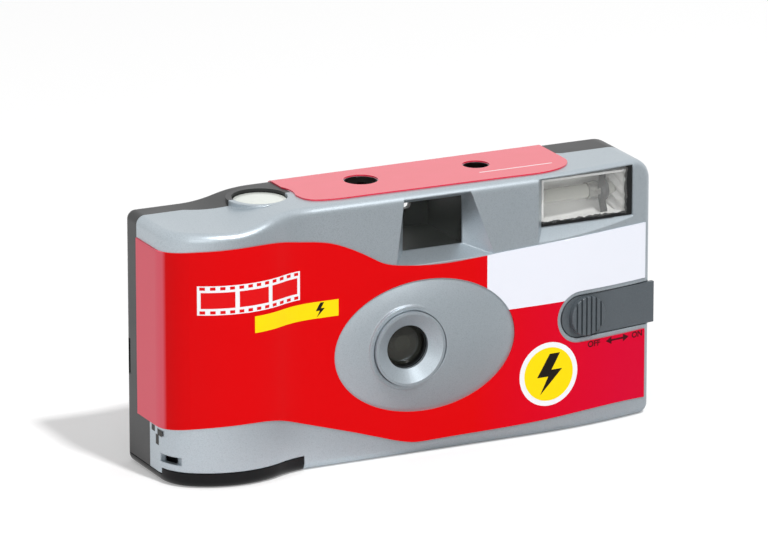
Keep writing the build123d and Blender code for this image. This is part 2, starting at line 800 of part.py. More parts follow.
# Taking lens: one clear moulded meniscus
lens_rim = 1.2
lens_bulge = 0.8

with BuildPart() as taking_lens:
    with BuildSketch(Plane.XY.offset(lens_z)):
        with BuildLine():
            Polyline(
                (lens_x, lens_back_y - lens_rim - lens_bulge),
                (lens_x, lens_back_y),
                (lens_x + taking_lens_radius, lens_back_y),
                (lens_x + taking_lens_radius, lens_back_y - lens_rim),
            )
            RadiusArc(
                (lens_x + taking_lens_radius, lens_back_y - lens_rim),
                (lens_x, lens_back_y - lens_rim - lens_bulge),
                (taking_lens_radius**2 + lens_bulge**2) / (2 * lens_bulge),
            )
        make_face()
    revolve(axis=Axis((lens_x, 0, lens_z), forward))
taking_lens.part.label = "taking_lens"
export_step(taking_lens.part, "parts/taking_lens.step")

# Lens ring: silver conical bowl pressed into the cup of the front cover
ring_rim = 0.6

with BuildPart() as lens_ring:
    rod((lens_x, ring_back_y, lens_z), forward, ring_back_y - ring_front_y, ring_radius)
    rod((lens_x, ring_back_y + overrun, lens_z), forward, far_y, eye_radius, Mode.SUBTRACT)
    with Locations(Plane(origin=(lens_x, ring_front_y + bowl_depth, lens_z), z_dir=forward)):
        Cone(
            eye_radius,
            ring_radius - ring_rim,
            bowl_depth,
            align=(Align.CENTER, Align.CENTER, Align.MIN),
            mode=Mode.SUBTRACT,
        )
lens_ring.part.label = "lens_ring"
export_step(lens_ring.part, "parts/lens_ring.step")

# Viewfinder lenses: a clear window in front and a clear eyepiece behind, both in the frame's tunnel
finder_lens_thickness = 1.4
lens_fit = 0.05
finder_hollow = 0.6
eyepiece_thickness = 3.4
eyepiece_flange = 1.4
finder_lens_front_y = tunnel_front_y + lens_fit
finder_curve = (finder_height**2 / 4 + finder_hollow**2) / (2 * finder_hollow)
finder_curve_y = finder_lens_front_y + finder_lens_thickness - finder_hollow + finder_curve
eyepiece_back_y = back_y - eyepiece_setback

with BuildPart() as viewfinder_window:
    with BuildSketch(facing(finder_lens_front_y + finder_lens_thickness)):
        with Locations((finder_x, finder_z)):
            Rectangle(finder_width - 2 * lens_fit, finder_height - 2 * lens_fit)
    extrude(amount=finder_lens_thickness)
    with Locations((finder_x, finder_curve_y, finder_z)):
        Sphere(finder_curve, mode=Mode.SUBTRACT)
viewfinder_window.part.label = "viewfinder_window"
export_step(viewfinder_window.part, "parts/viewfinder_window.step")

with BuildPart() as viewfinder_eyepiece:
    with BuildSketch(facing(eyepiece_back_y)):
        with Locations((finder_x, eyepiece_z)):
            RectangleRounded(
                eyepiece_width - 2 * lens_fit,
                eyepiece_height - 2 * lens_fit - finder_wall,
                eyepiece_corner,
            )
    extrude(amount=eyepiece_thickness)
    with Locations((finder_x, gate_back_y - eyepiece_flange / 2, finder_z)):
        Box(finder_width - 2 * lens_fit, eyepiece_flange, finder_height - 2 * lens_fit)
viewfinder_eyepiece.part.label = "viewfinder_eyepiece"
export_step(viewfinder_eyepiece.part, "parts/viewfinder_eyepiece.step")

# Flash: clear window, bright trough reflector, glass tube with two metal ends and a trigger band
window_fit = 0.05
tube_radius = 1.6
tube_cap_radius = 1.75
tube_cap_length = 1.3
tube_y = -3.6
band_width = 2.8
band_x = 48.0
band_wall = 0.35
reflector_headroom = 0.7
reflector_left = flash_x - flash_width / 2 + rest_width / 2
reflector_right = deck_right - rest_width / 4
reflector_high = body_height - wall - reflector_headroom
reflector_z = (reflector_low + reflector_high) / 2
tube_left = reflector_left + reflector_wall + lens_fit
tube_right = reflector_right - reflector_wall - lens_fit

with BuildPart() as flash_window:
    with BuildSketch(facing(flash_y + window_thickness)):
        with Locations((flash_x, flash_z)):
            Rectangle(flash_width - 2 * window_fit, flash_height - 2 * window_fit)
    extrude(amount=window_thickness)
flash_window.part.label = "flash_window"
export_step(flash_window.part, "parts/flash_window.step")



def trough(start_x, end_x, front, inset):
    """Solid with the section of the reflector's trough: straight lips and a round back."""
    half = (reflector_high - reflector_low) / 2 - inset
    round_y = reflector_back_y - inset - half
    with BuildPart(mode=Mode.PRIVATE) as form:
        with BuildSketch(Plane.YZ.offset(start_x)):
            with BuildLine():
                back = CenterArc((round_y, reflector_z), half, -full_turn / 4, full_turn / 2)
                Polyline(back @ 1, (front, reflector_z + half), (front, reflector_z - half), back @ 0)
            make_face()
        extrude(amount=end_x - start_x)
    return form.part


with BuildPart() as flash_reflector:
    add(trough(reflector_left, reflector_right, reflector_front_y, 0))
    add(
        trough(
            reflector_left + reflector_wall,
            reflector_right - reflector_wall,
            reflector_front_y - overrun,
            reflector_wall,
        ),
        mode=Mode.SUBTRACT,
    )
    for side_x in (reflector_left, reflector_right - reflector_wall):
        brick(
            (side_x, side_x + reflector_wall),
            (reflector_front_y, reflector_back_y),
            (reflector_low, reflector_high),
        )
flash_reflector.part.label = "flash_reflector"
export_step(flash_reflector.part, "parts/flash_reflector.step")

with BuildPart() as flash_tube:
    rod(
        (tube_left + tube_cap_length, tube_y, reflector_z),
        rightward,
        tube_right - tube_left - 2 * tube_cap_length,
        tube_radius,
    )
flash_tube.part.label = "flash_tube"
export_step(flash_tube.part, "parts/flash_tube.step")

with BuildPart() as flash_tube_ends:
    for cap_x in (tube_left, tube_right - tube_cap_length):
        rod((cap_x, tube_y, reflector_z), rightward, tube_cap_length, tube_cap_radius)
flash_tube_ends.part.label = "flash_tube_ends"
export_step(flash_tube_ends.part, "parts/flash_tube_ends.step")

with BuildPart() as trigger_band:
    rod((band_x - band_width / 2, tube_y, reflector_z), rightward, band_width, tube_radius + band_wall)
    rod((band_x - band_width / 2, tube_y, reflector_z), rightward, band_width, tube_radius, Mode.SUBTRACT)
trigger_band.part.label = "trigger_band"
export_step(trigger_band.part, "parts/trigger_band.step")

# Circuit board with its larger parts: capacitor, transformer, trigger coil, transistor, diode, resistor
board_left = 18.0
board_right = 39.6
board_step_x = 26.6
board_lobe_right = 28.5
board_low = 5.0
board_step_z = 17.5
board_high = 43.2
board_lobe_high = 57.0
board_thickness = 1.0
board_back_y = supply_front_y - frame_wall - lens_fit
capacitor_radius = 4.75
capacitor_length = 25.5
capacitor_gap = 0.35
capacitor_y = 1.5
lead_radius = 0.35
lead_drop = 1.6
transformer_width = 8.5
transformer_depth = 6.4
transformer_height = 8.6
core_lip = 0.8
coil_radius = 2.4
coil_length = 7.0
coil_end = 0.6
coil_x = 44.0
coil_y = 3.2
part_size = 4.4
part_depth = 3.4
part_x = 20.8
diode_radius = 1.1
resistor_radius = 0.9
small_part_length = 4.2
transistor_z = 24.0
diode_z = 32.0
resistor_z = 37.5
board_front_y = board_back_y - board_thickness
small_part_x = part_x - small_part_length / 2
capacitor_x = supply_left - capacitor_gap - capacitor_radius
capacitor_low = stop_plate_low + capacitor_gap
transformer_x = (board_left + board_lobe_right) / 2

with BuildPart() as circuit_board:
    with BuildSketch(facing(board_back_y)):
        with BuildLine():
            Polyline(
                (board_left, board_step_z),
                (board_step_x, board_step_z),
                (board_step_x, board_low),
                (board_right, board_low),
                (board_right, board_high),
                (board_lobe_right, board_high),
                (board_lobe_right, board_lobe_high),
                (board_left, board_lobe_high),
                close=True,
            )
        make_face()
    extrude(amount=board_thickness)
circuit_board.part.label = "circuit_board"
export_step(circuit_board.part, "parts/circuit_board.step")

with BuildPart() as flash_capacitor:
    rod((capacitor_x, capacitor_y, capacitor_low), up, capacitor_length, capacitor_radius)
    rounded = flash_capacitor.edges().filter_by(GeomType.CIRCLE)
    fillet(rounded, capacitor_gap)
    for lead_x in (capacitor_x + capacitor_radius / 4, capacitor_x + 3 * capacitor_radius / 4):
        rod((lead_x, capacitor_y, capacitor_low - lead_drop), up, lead_drop, lead_radius)
        rod(
            (lead_x, capacitor_y + lead_radius, capacitor_low - lead_drop),
            forward,
            capacitor_y + lead_radius - board_back_y,
            lead_radius,
        )
flash_capacitor.part.label = "flash_capacitor"
export_step(flash_capacitor.part, "parts/flash_capacitor.step")

with BuildPart() as transformer:
    transformer_y = board_back_y + transformer_depth / 2
    with Locations((transformer_x, transformer_y, deck_top + transformer_height / 2)):
        Box(transformer_width, transformer_depth, transformer_height - 2 * core_lip)
    for lip_z in (deck_top, deck_top + transformer_height - core_lip):
        with Locations((transformer_x, transformer_y, lip_z + core_lip / 2)):
            Box(transformer_width + core_lip, transformer_depth, core_lip)
transformer.part.label = "transformer"
export_step(transformer.part, "parts/transformer.step")

with BuildPart() as trigger_coil:
    rod((coil_x, coil_y, deck_top + coil_radius + coil_end), rightward, coil_length, coil_radius)
    for end_x in (coil_x - coil_end, coil_x + coil_length):
        brick(
            (end_x, end_x + coil_end),
            (coil_y - coil_radius - coil_end, coil_y + coil_radius + coil_end),
            (deck_top, deck_top + 2 * coil_radius + 2 * coil_end),
        )
trigger_coil.part.label = "trigger_coil"
export_step(trigger_coil.part, "parts/trigger_coil.step")

with BuildPart() as transistor:
    brick(
        (part_x - part_size / 2, part_x + part_size / 2),
        (board_back_y, board_back_y + part_depth),
        (transistor_z - part_size / 2, transistor_z + part_size / 2),
    )
transistor.part.label = "transistor"
export_step(transistor.part, "parts/transistor.step")

with BuildPart() as diode:
    rod((small_part_x, board_back_y + diode_radius, diode_z), rightward, small_part_length, diode_radius)
diode.part.label = "diode"
export_step(diode.part, "parts/diode.step")

with BuildPart() as resistor:
    resistor_base = (small_part_x, board_back_y + resistor_radius, resistor_z)
    rod(resistor_base, rightward, small_part_length, resistor_radius)
resistor.part.label = "resistor"
export_step(resistor.part, "parts/resistor.step")

# Ready lamp: small neon bulb in its post under the hole in the top
lamp_top = body_height - wall - frame_gap
with BuildPart() as ready_lamp:
    rod((lamp_x, lamp_y, deck_top), up, lamp_top - lamp_radius - deck_top, lamp_radius)
    with Locations((lamp_x, lamp_y, lamp_top - lamp_radius)):
        Sphere(lamp_radius)
ready_lamp.part.label = "ready_lamp"
export_step(ready_lamp.part, "parts/ready_lamp.step")

# Sync contacts: two sprung brass strips from the board to the shutter
strip_thickness = 0.25
strip_width = 1.4
strip_left = holder_right + spacer_radius
strip_z = 37.0
strip_pitch = 3.0

with BuildPart() as sync_contacts:
    for strip in range(2):
        low = strip_z + strip * strip_pitch
        brick(
            (strip_left, board_left + spacer_inset),
            (board_front_y - strip_thickness, board_front_y),
            (low, low + strip_width),
        )
sync_contacts.part.label = "sync_contacts"
export_step(sync_contacts.part, "parts/sync_contacts.step")

# Battery in its cradle, with a sprung plate at each end
contact_sheet = 0.3
contact_half = 3.4
contact_low = 4.0
contact_high = 14.0
tongue_low = 7.0
tongue_high = 11.0
nub_x = battery_left_x + battery_length

with BuildPart() as battery:
    rod((battery_left_x, battery_y, battery_z), rightward, battery_length, battery_radius)
    ends = battery.edges().filter_by(GeomType.CIRCLE)
    fillet(ends, battery_gap)
    rod((nub_x, battery_y, battery_z), rightward, battery_nub_length, battery_nub_radius)
battery.part.label = "battery"
export_step(battery.part, "parts/battery.step")


def battery_contact(seat_x, way):
    """Plate on the cradle's end wall with a tongue bent towards the battery."""
    with BuildPart(mode=Mode.PRIVATE) as contact:
        plate = sorted((seat_x, seat_x + way * contact_sheet))
        brick(plate, (battery_y - contact_half, battery_y + contact_half), (contact_low, contact_high))
        with BuildSketch(Plane.XY.offset(tongue_low)):
            with BuildLine():
                Polyline(
                    (seat_x + way * contact_sheet / 2, battery_y - contact_half + contact_sheet),
                    (seat_x + way * (contact_room - contact_sheet), battery_y),
                    (seat_x + way * contact_sheet / 2, battery_y + contact_half - contact_sheet),
                )
            trace(line_width=contact_sheet)
        extrude(amount=tongue_high - tongue_low)
    return contact.part


with BuildPart() as positive_contact:
    add(battery_contact(cradle_right, -1))
positive_contact.part.label = "positive_contact"
export_step(positive_contact.part, "parts/positive_contact.step")

with BuildPart() as negative_contact:
    add(battery_contact(cradle_left, 1))
negative_contact.part.label = "negative_contact"
export_step(negative_contact.part, "parts/negative_contact.step")

# Film cartridge: thin steel can with a lipped film slot, two end caps and a spool
cap_thickness = 0.8
can_rim = 0.2
spool_radius = 5.6
spool_flange_radius = 11.2
spool_flange = 0.6
lip_reach = 3.0
lip_gap = 0.25
key_depth = 4.0
key_gap = 0.3
spool_foot_z = 1.7
can_shell_radius = can_radius - can_rim
key_room = key_depth + 2 * overrun
lip_y = film_front_y + film_thickness / 2
lip_start_x = can_x + math.sqrt(can_shell_radius**2 - (lip_y - can_y) ** 2) - can_wall

with BuildPart() as cartridge_can:
    rod((can_x, can_y, can_bottom + cap_thickness), up, can_height - 2 * cap_thickness, can_shell_radius)
    brick(
        (lip_start_x - can_wall, lip_start_x + lip_reach),
        (lip_y - lip_gap - can_wall, lip_y + lip_gap + can_wall),
        (film_bottom - can_wall, film_top + can_wall),
    )
    rod((can_x, can_y, can_bottom), up, can_height, can_shell_radius - can_wall, Mode.SUBTRACT)
    brick(
        (can_x, lip_start_x + lip_reach + overrun),
        (lip_y - lip_gap, lip_y + lip_gap),
        (film_bottom - can_wall / 2, film_top + can_wall / 2),
        Mode.SUBTRACT,
    )
cartridge_can.part.label = "cartridge_can"
export_step(cartridge_can.part, "parts/cartridge_can.step")

with BuildPart() as cartridge_end_caps:
    for cap_z in (can_bottom, can_top - cap_thickness):
        rod((can_x, can_y, cap_z), up, cap_thickness, can_radius)
    rod((can_x, can_y, 0), up, body_height, spool_radius + shaft_gap, Mode.SUBTRACT)
cartridge_end_caps.part.label = "cartridge_end_caps"
export_step(cartridge_end_caps.part, "parts/cartridge_end_caps.step")

with BuildPart() as cartridge_spool:
    rod((can_x, can_y, can_bottom), up, can_height, spool_radius)
    rod((can_x, can_y, spool_foot_z), up, can_bottom - spool_foot_z, nub_radius)
    for flange_z in (film_bottom - spool_flange - lip_gap, film_top + lip_gap):
        rod((can_x, can_y, flange_z), up, spool_flange, spool_flange_radius)
    rod((can_x, can_y, can_top - key_depth - overrun), up, key_room, nub_radius + key_gap, Mode.SUBTRACT)
cartridge_spool.part.label = "cartridge_spool"
export_step(cartridge_spool.part, "parts/cartridge_spool.step")

# Thumbwheel: black ribbed wheel with a key that turns the cartridge spool
wheel_notches = 44
wheel_notch_radius = 0.5
wheel_pivot_radius = 2.5
wheel_pivot_height = 1.7

with BuildPart() as thumbwheel:
    with BuildSketch(Plane.XY.offset(wheel_low)):
        with Locations((can_x, can_y)):
            Circle(wheel_radius)
        with Locations((can_x, can_y)):
            with PolarLocations(wheel_radius, wheel_notches):
                Circle(wheel_notch_radius, mode=Mode.SUBTRACT)
    extrude(amount=wheel_height)
    rod((can_x, can_y, wheel_low + wheel_height), up, wheel_pivot_height, wheel_pivot_radius)
    rod((can_x, can_y, can_top - key_depth), up, wheel_low - can_top + key_depth, nub_radius)
thumbwheel.part.label = "thumbwheel"
export_step(thumbwheel.part, "parts/thumbwheel.step")

# Film: perforated strip across the gate and the unexposed roll on its supply spool
strip_start_x = lip_start_x + 2 * can_wall
strip_length = supply_x - strip_start_x
perforation_count = int((strip_length - perforation_pitch) / perforation_pitch)
spool_end_gap = 0.2

with BuildPart() as film_strip:
    with BuildSketch(facing(film_front_y + film_thickness)):
        with Locations((strip_start_x + strip_length / 2, lens_z)):
            Rectangle(strip_length, film_width)
            row_pitch = film_width - 2 * perforation_margin - perforation_height
            with GridLocations(perforation_pitch, row_pitch, perforation_count, 2):
                Rectangle(perforation_length, perforation_height, mode=Mode.SUBTRACT)
    extrude(amount=film_thickness)
film_strip.part.label = "film_strip"
export_step(film_strip.part, "parts/film_strip.step")

with BuildPart() as supply_spool:
    rod(
        (supply_x, supply_y, wall + frame_wall + spool_end_gap),
        up,
        deck_bottom - wall - frame_wall - 2 * spool_end_gap,
        core_radius,
    )
    rod((supply_x, supply_y, wall + frame_gap), up, deck_top - wall - frame_gap, spool_pin_radius)
supply_spool.part.label = "supply_spool"
export_step(supply_spool.part, "parts/supply_spool.step")

with BuildPart() as film_roll:
    rod((supply_x, supply_y, film_bottom), up, film_width, roll_radius)
    rod((supply_x, supply_y, film_bottom - overrun), up, film_width + 2 * overrun, core_radius, Mode.SUBTRACT)
film_roll.part.label = "film_roll"
export_step(film_roll.part, "parts/film_roll.step")

# Sprocket: toothed wheel in the film's perforations, with a shaft up to the counter driver
tooth_width = 1.3
sprocket_body_radius = 5.6
driver_height = 0.9
driver_radius = 1.9
driver_gap = 0.2
driver_low = 55.4
shaft_collar_radius = 2.2
shaft_collar_height = 1.0
counter_ring_radius = 7.8
counter_teeth = 24
counter_tooth = 0.6
counter_hub_low = 49.2
counter_hub_radius = 2.0
driver_tooth_radius = gear_distance - counter_ring_radius - driver_gap

with BuildPart() as sprocket:
    with BuildSketch(Plane.XY.offset(sprocket_z - sprocket_thickness / 2)):
        with Locations((sprocket_x, sprocket_y)):
            Circle(sprocket_body_radius)
            tooth_middle = (sprocket_body_radius + tooth_radius) / 2
            with PolarLocations(tooth_middle, sprocket_teeth, start_angle=full_turn / 4):
                Rectangle(tooth_radius - sprocket_body_radius + tooth_gap, tooth_width)
    extrude(amount=sprocket_thickness)
    rod((sprocket_x, sprocket_y, sprocket_z), up, driver_low + driver_height - sprocket_z, shaft_radius)
    rod((sprocket_x, sprocket_y, deck_top + frame_gap), up, shaft_collar_height, shaft_collar_radius)
    rod((sprocket_x, sprocket_y, driver_low), up, driver_height, driver_radius)
    brick(
        (sprocket_x - tooth_width / 2, sprocket_x + tooth_width / 2),
        (sprocket_y, sprocket_y + driver_tooth_radius - tooth_gap),
        (driver_low, driver_low + driver_height),
    )
sprocket.part.label = "sprocket"
export_step(sprocket.part, "parts/sprocket.step")

# Counter disc: white numbered disc with a toothed ring under it, on the frame's post
counter_root_radius = counter_ring_radius - counter_tooth
counter_radius = math.dist((counter_x, counter_y), (counter_hole_x, hole_y)) + counter_hole_radius + ring_gap

with BuildPart() as counter_disc:
    rod((counter_x, counter_y, counter_low), up, counter_thickness, counter_radius)
    with BuildSketch(Plane.XY.offset(counter_ring_low)):
        with Locations((counter_x, counter_y)):
            Circle(counter_root_radius)
            half_tooth = full_turn / counter_teeth / 2
            with PolarLocations(counter_root_radius, counter_teeth, start_angle=half_tooth):
                Rectangle(2 * counter_tooth, counter_tooth)
    extrude(amount=counter_low - counter_ring_low)
    rod((counter_x, counter_y, counter_hub_low), up, counter_ring_low - counter_hub_low, counter_hub_radius)
    rod((counter_x, counter_y, 0), up, body_height, post_radius + shaft_gap, Mode.SUBTRACT)
counter_disc.part.label = "counter_disc"
export_step(counter_disc.part, "parts/counter_disc.step")

# Striker lever: sprung arm on the counter post that knocks the shutter blade's tab
striker_gap = 0.3
striker_hub_radius = 2.6
striker_hub_height = 2.3
striker_arm_thickness = 1.2
striker_arm_width = 2.4
striker_reach = 9.4
striker_rest_turn = -70.0
striker_leg_turn = 30.0
striker_spring_radius = 1.7
striker_spring_leg = 6.5
spring_wire = 0.4
striker_low = deck_top + striker_gap
striker_arm_low = striker_low + (striker_hub_height - striker_arm_thickness) / 2
striker_tip = (
    counter_x + striker_reach * math.cos(math.radians(striker_rest_turn)),
    counter_y + striker_reach * math.sin(math.radians(striker_rest_turn)),
)
striker_spring_low = striker_low + striker_hub_height + striker_gap
striker_spring_plane = Plane(origin=(counter_x, counter_y, striker_spring_low), z_dir=up)

with BuildPart() as striker_lever:
    rod((counter_x, counter_y, striker_low), up, striker_hub_height, striker_hub_radius)
    with BuildSketch(Plane.XY.offset(striker_arm_low)):
        bar((counter_x, counter_y), striker_tip, striker_arm_width)
    extrude(amount=striker_arm_thickness)
    rod((counter_x, counter_y, 0), up, body_height, post_radius + shaft_gap, Mode.SUBTRACT)
striker_lever.part.label = "striker_lever"
export_step(striker_lever.part, "parts/striker_lever.step")

with BuildPart() as striker_spring:
    add(
        hairpin(
            striker_spring_plane,
            striker_spring_radius,
            striker_spring_leg,
            striker_leg_turn,
            spring_gape,
            spring_wire,
        )
    )
striker_spring.part.label = "striker_spring"
export_step(striker_spring.part, "parts/striker_spring.step")

# Two pawls on one pin beside the thumbwheel: one stops it turning back, one meters each frame
pawl_low = wheel_low + frame_gap
pawl_thickness = 1.3
pawl_hub_radius = 1.6
pawl_arm_width = 1.2
pawl_tip_gap = 0.35
pawl_tip_turn = -39.0
meter_low = 52.7
meter_thickness = 1.3
meter_tip_turn = 5.0
meter_foot_reach = 6.4
meter_foot_turn = 56.0
lever_spring_low = 52.1
lever_spring_radius = 1.3
lever_spring_leg = 4.0
lever_leg_turn = -60.0
lever_wire = 0.3
tip_reach = wheel_radius + pawl_tip_gap + pawl_arm_width / 2


def wheel_side(turn):
    """Place of a pawl's tip just outside the thumbwheel, turned from the rightward direction."""
    rise = math.radians(turn)
    return (can_x + tip_reach * math.cos(rise), can_y + tip_reach * math.sin(rise))


with BuildPart() as anti_reverse_pawl:
    with BuildSketch(Plane.XY.offset(pawl_low)):
        with Locations((lever_x, lever_y)):
            Circle(pawl_hub_radius)
        bar((lever_x, lever_y), wheel_side(pawl_tip_turn), pawl_arm_width)
        with Locations((lever_x, lever_y)):
            Circle(lever_pin_radius + shaft_gap, mode=Mode.SUBTRACT)
    extrude(amount=pawl_thickness)
anti_reverse_pawl.part.label = "anti_reverse_pawl"
export_step(anti_reverse_pawl.part, "parts/anti_reverse_pawl.step")

with BuildPart() as metering_lever:
    with BuildSketch(Plane.XY.offset(meter_low)):
        with Locations((lever_x, lever_y)):
            Circle(pawl_hub_radius)
        bar((lever_x, lever_y), wheel_side(meter_tip_turn), pawl_arm_width)
        meter_foot = (
            lever_x + meter_foot_reach * math.cos(math.radians(meter_foot_turn)),
            lever_y + meter_foot_reach * math.sin(math.radians(meter_foot_turn)),
        )
        bar((lever_x, lever_y), meter_foot, pawl_arm_width)
        with Locations((lever_x, lever_y)):
            Circle(lever_pin_radius + shaft_gap, mode=Mode.SUBTRACT)
    extrude(amount=meter_thickness)
metering_lever.part.label = "metering_lever"
export_step(metering_lever.part, "parts/metering_lever.step")

with BuildPart() as lever_spring:
    add(
        hairpin(
            Plane(origin=(lever_x, lever_y, lever_spring_low), z_dir=up),
            lever_spring_radius,
            lever_spring_leg,
            lever_leg_turn,
            spring_gape,
            lever_wire,
        )
    )
lever_spring.part.label = "lever_spring"
export_step(lever_spring.part, "parts/lever_spring.step")

# Shutter button: pale domed cap with a stem down to a leaf spring on the deck
button_crown = 0.7
button_height = 2.6
button_setback = 0.1
stem_radius = 0.9
stem_x = -27.0
stem_y = 4.0
leaf_room = 0.5
leaf_width = 1.4
leaf_foot = 1.2
leaf_run = 3.6
leaf_thickness = 0.3
leaf_gap = 0.05
lug_width = 2.4
lug_height = 0.5
lug_leg = 0.9
lug_reach = 0.9
button_top = body_height - button_setback
button_rim_z = button_top - button_crown
button_low = button_top - button_height
leaf_top = deck_top + button_travel + leaf_room + leaf_thickness
lug_top = body_height - collar_depth - button_gap

with BuildPart() as shutter_button:
    with BuildSketch(Plane.XZ.offset(-button_y)):
        with BuildLine():
            Polyline(
                (button_x, button_top),
                (button_x, button_low),
                (button_x + button_radius, button_low),
                (button_x + button_radius, button_rim_z),
            )
            RadiusArc(
                (button_x + button_radius, button_rim_z),
                (button_x, button_top),
                -(button_radius**2 + button_crown**2) / (2 * button_crown),
            )
        make_face()
    revolve(axis=Axis((button_x, button_y, 0), up))
    rod((stem_x, stem_y, leaf_top + leaf_gap), up, button_low - leaf_top - leaf_gap, stem_radius)
    lug_span = (button_x - lug_width / 2, button_x + lug_width / 2)
    for side in (-1, 1):
        leg_y = button_y + side * (button_radius - lug_leg)
        rim_y = button_y + side * (button_radius - leaf_gap)
        hook_y = button_y + side * (button_radius + lug_reach)
        brick(lug_span, sorted((leg_y, rim_y)), (lug_top - lug_height, button_low + leaf_gap))
        brick(lug_span, sorted((leg_y, hook_y)), (lug_top - lug_height, lug_top))
shutter_button.part.label = "shutter_button"
export_step(shutter_button.part, "parts/shutter_button.step")

with BuildPart() as button_spring:
    with BuildSketch(Plane.YZ.offset(stem_x - leaf_width / 2)):
        with BuildLine():
            Polyline(
                (stem_y + leaf_run + leaf_foot, deck_top + leaf_thickness / 2),
                (stem_y + leaf_run, deck_top + leaf_thickness / 2),
                (stem_y + stem_radius, leaf_top - leaf_thickness / 2),
                (stem_y - stem_radius, leaf_top - leaf_thickness / 2),
            )
        trace(line_width=leaf_thickness)
    extrude(amount=leaf_width)
button_spring.part.label = "button_spring"
export_step(button_spring.part, "parts/button_spring.step")

# Flash switch: grey slide with a round ribbed grip in the track, a stem, a foot and a contact clip
switch_gap = 0.25
switch_lift = 0.05
switch_end = 0.7
grip_radius = 4.55
grip_height = 1.3
grip_ribs = 6
grip_rib_pitch = 1.3
grip_groove = 0.5
grip_edge = 0.3
foot_gap = 0.15
foot_thickness = 0.5
foot_width = 4.6
foot_height = 5.4
clip_thickness = 0.25
clip_width = 3.4
clip_height = 4.6
terminal_height = 1.0
terminal_pitch = 2.4
terminal_reach = 6.4
plate_top_lift = switch_lift + switch_plate
stem_height = stem_slot_height - 2 * switch_gap
foot_lift = -track_backing - foot_gap - foot_thickness

with BuildPart() as flash_switch:
    plate_radius = switch_radius - switch_gap
    add(switch_pill(switch_lift, switch_gap, switch_reach + switch_end, plate_radius, switch_plate))
    with BuildSketch(switch_floor.offset(plate_top_lift)):
        with Locations((grip_along, 0)):
            Circle(grip_radius)
    extrude(amount=grip_height)
    crown_edge = flash_switch.edges().filter_by(GeomType.CIRCLE).group_by(Axis.Y)[0]
    fillet(crown_edge, grip_edge)
    with BuildSketch(switch_floor.offset(plate_top_lift + grip_height - grip_groove)):
        with Locations((grip_along, 0)):
            with GridLocations(grip_rib_pitch, grip_radius, grip_ribs, 1):
                Rectangle(grip_groove, 2 * grip_radius)
    extrude(amount=grip_groove + overrun, mode=Mode.SUBTRACT)
    with BuildSketch(switch_floor.offset(foot_lift + foot_thickness)):
        with Locations((grip_along, 0)):
            Rectangle(stem_width, stem_height)
    extrude(amount=plate_top_lift - foot_lift - foot_thickness)
    with BuildSketch(switch_floor.offset(foot_lift)):
        with Locations((grip_along, 0)):
            Rectangle(foot_width, foot_height)
    extrude(amount=foot_thickness)
flash_switch.part.label = "flash_switch"
export_step(flash_switch.part, "parts/flash_switch.step")

with BuildPart() as switch_clip:
    with BuildSketch(switch_floor.offset(foot_lift - clip_thickness)):
        with Locations((grip_along, 0)):
            Rectangle(clip_width, clip_height)
    extrude(amount=clip_thickness)
switch_clip.part.label = "switch_clip"
export_step(switch_clip.part, "parts/switch_clip.step")

with BuildPart() as switch_terminals:
    for terminal_z in (switch_z - terminal_pitch / 2, switch_z + terminal_pitch / 2):
        brick(
            (board_right, board_right + terminal_reach),
            (board_back_y - clip_thickness, board_back_y),
            (terminal_z - terminal_height / 2, terminal_z + terminal_height / 2),
        )
switch_terminals.part.label = "switch_terminals"
export_step(switch_terminals.part, "parts/switch_terminals.step")

# Printed labels: thin skins glued to the covers, cut round everything that they pass
label_thickness = 0.3
label_gap = 0.3
label_back_y = 5.8
label_right_x = 59.0
track_rim = 1.0
label_top_shares = (
    (-1.03, 0.875), (-0.957, 0.893), (-0.846, 0.903), (-0.716, 0.908), (-0.6, 0.903),
    (-0.472, 0.879), (-0.365, 0.862), (-0.28, 0.832), (-0.187, 0.784), (-0.129, 0.753),
    (-0.059, 0.737), (0.117, 0.722), (0.297, 0.73), (0.612, 0.746), (1.03, 0.752),
)
label_low_shares = (
    (1.03, 0.068), (0.716, 0.07), (0.53, 0.06), (0.25, 0.053), (0.07, 0.05),
    (-0.019, 0.052), (-0.067, 0.0625), (-0.192, 0.102), (-0.342, 0.148), (-0.489, 0.193),
    (-0.61, 0.231), (-0.719, 0.24), (-0.812, 0.238), (-0.94, 0.226), (-1.03, 0.205),
)
top_label_shares = (
    (-0.415, 0.42), (-0.41, -0.2), (-0.388, -0.53), (-0.33, -0.65), (-0.2, -0.69),
    (0.1, -0.72), (0.46, -0.76), (0.6, -0.72), (0.69, -0.45), (0.716, -0.05),
)
top_label_low = 52.0
rear_label_width = 88.0
rear_label_height = 34.0
rear_label_z = 26.0
rear_label_corner = 3.0
skin_form = body_block(-label_thickness)


def shared_points(shares, x_size, y_size):
    """Outline points from shares of two named sizes."""
    return [(x * x_size, y * y_size) for x, y in shares]


with BuildPart() as front_label:
    add(skin_form)
    add(outer_form, mode=Mode.SUBTRACT)
    with BuildSketch(facing(label_back_y)):
        with BuildLine():
            upper = Spline(*shared_points(label_top_shares, -body_left_x, body_height))
            lower = Spline(*shared_points(label_low_shares, -body_left_x, body_height))
            Line(upper @ 1, lower @ 0)
            Line(lower @ 1, upper @ 0)
        make_face()
    extrude(amount=far_y, mode=Mode.INTERSECT)
    with BuildSketch(facing(0)):
        with Locations((dome_x, dome_z)):
            Ellipse(dome_half_width + label_gap, dome_half_height + label_gap)
    extrude(amount=far_y, mode=Mode.SUBTRACT)
    add(switch_pill(-wall, -track_rim, far_x, switch_radius + track_rim, far_y), mode=Mode.SUBTRACT)
    add(finder_recess(label_gap), mode=Mode.SUBTRACT)
    add(flash_recess(label_gap), mode=Mode.SUBTRACT)
    brick((label_right_x, far_x), (-far_y, far_y), (-overrun, body_height), Mode.SUBTRACT)
front_label.part.label = "front_label"
export_step(front_label.part, "parts/front_label.step")

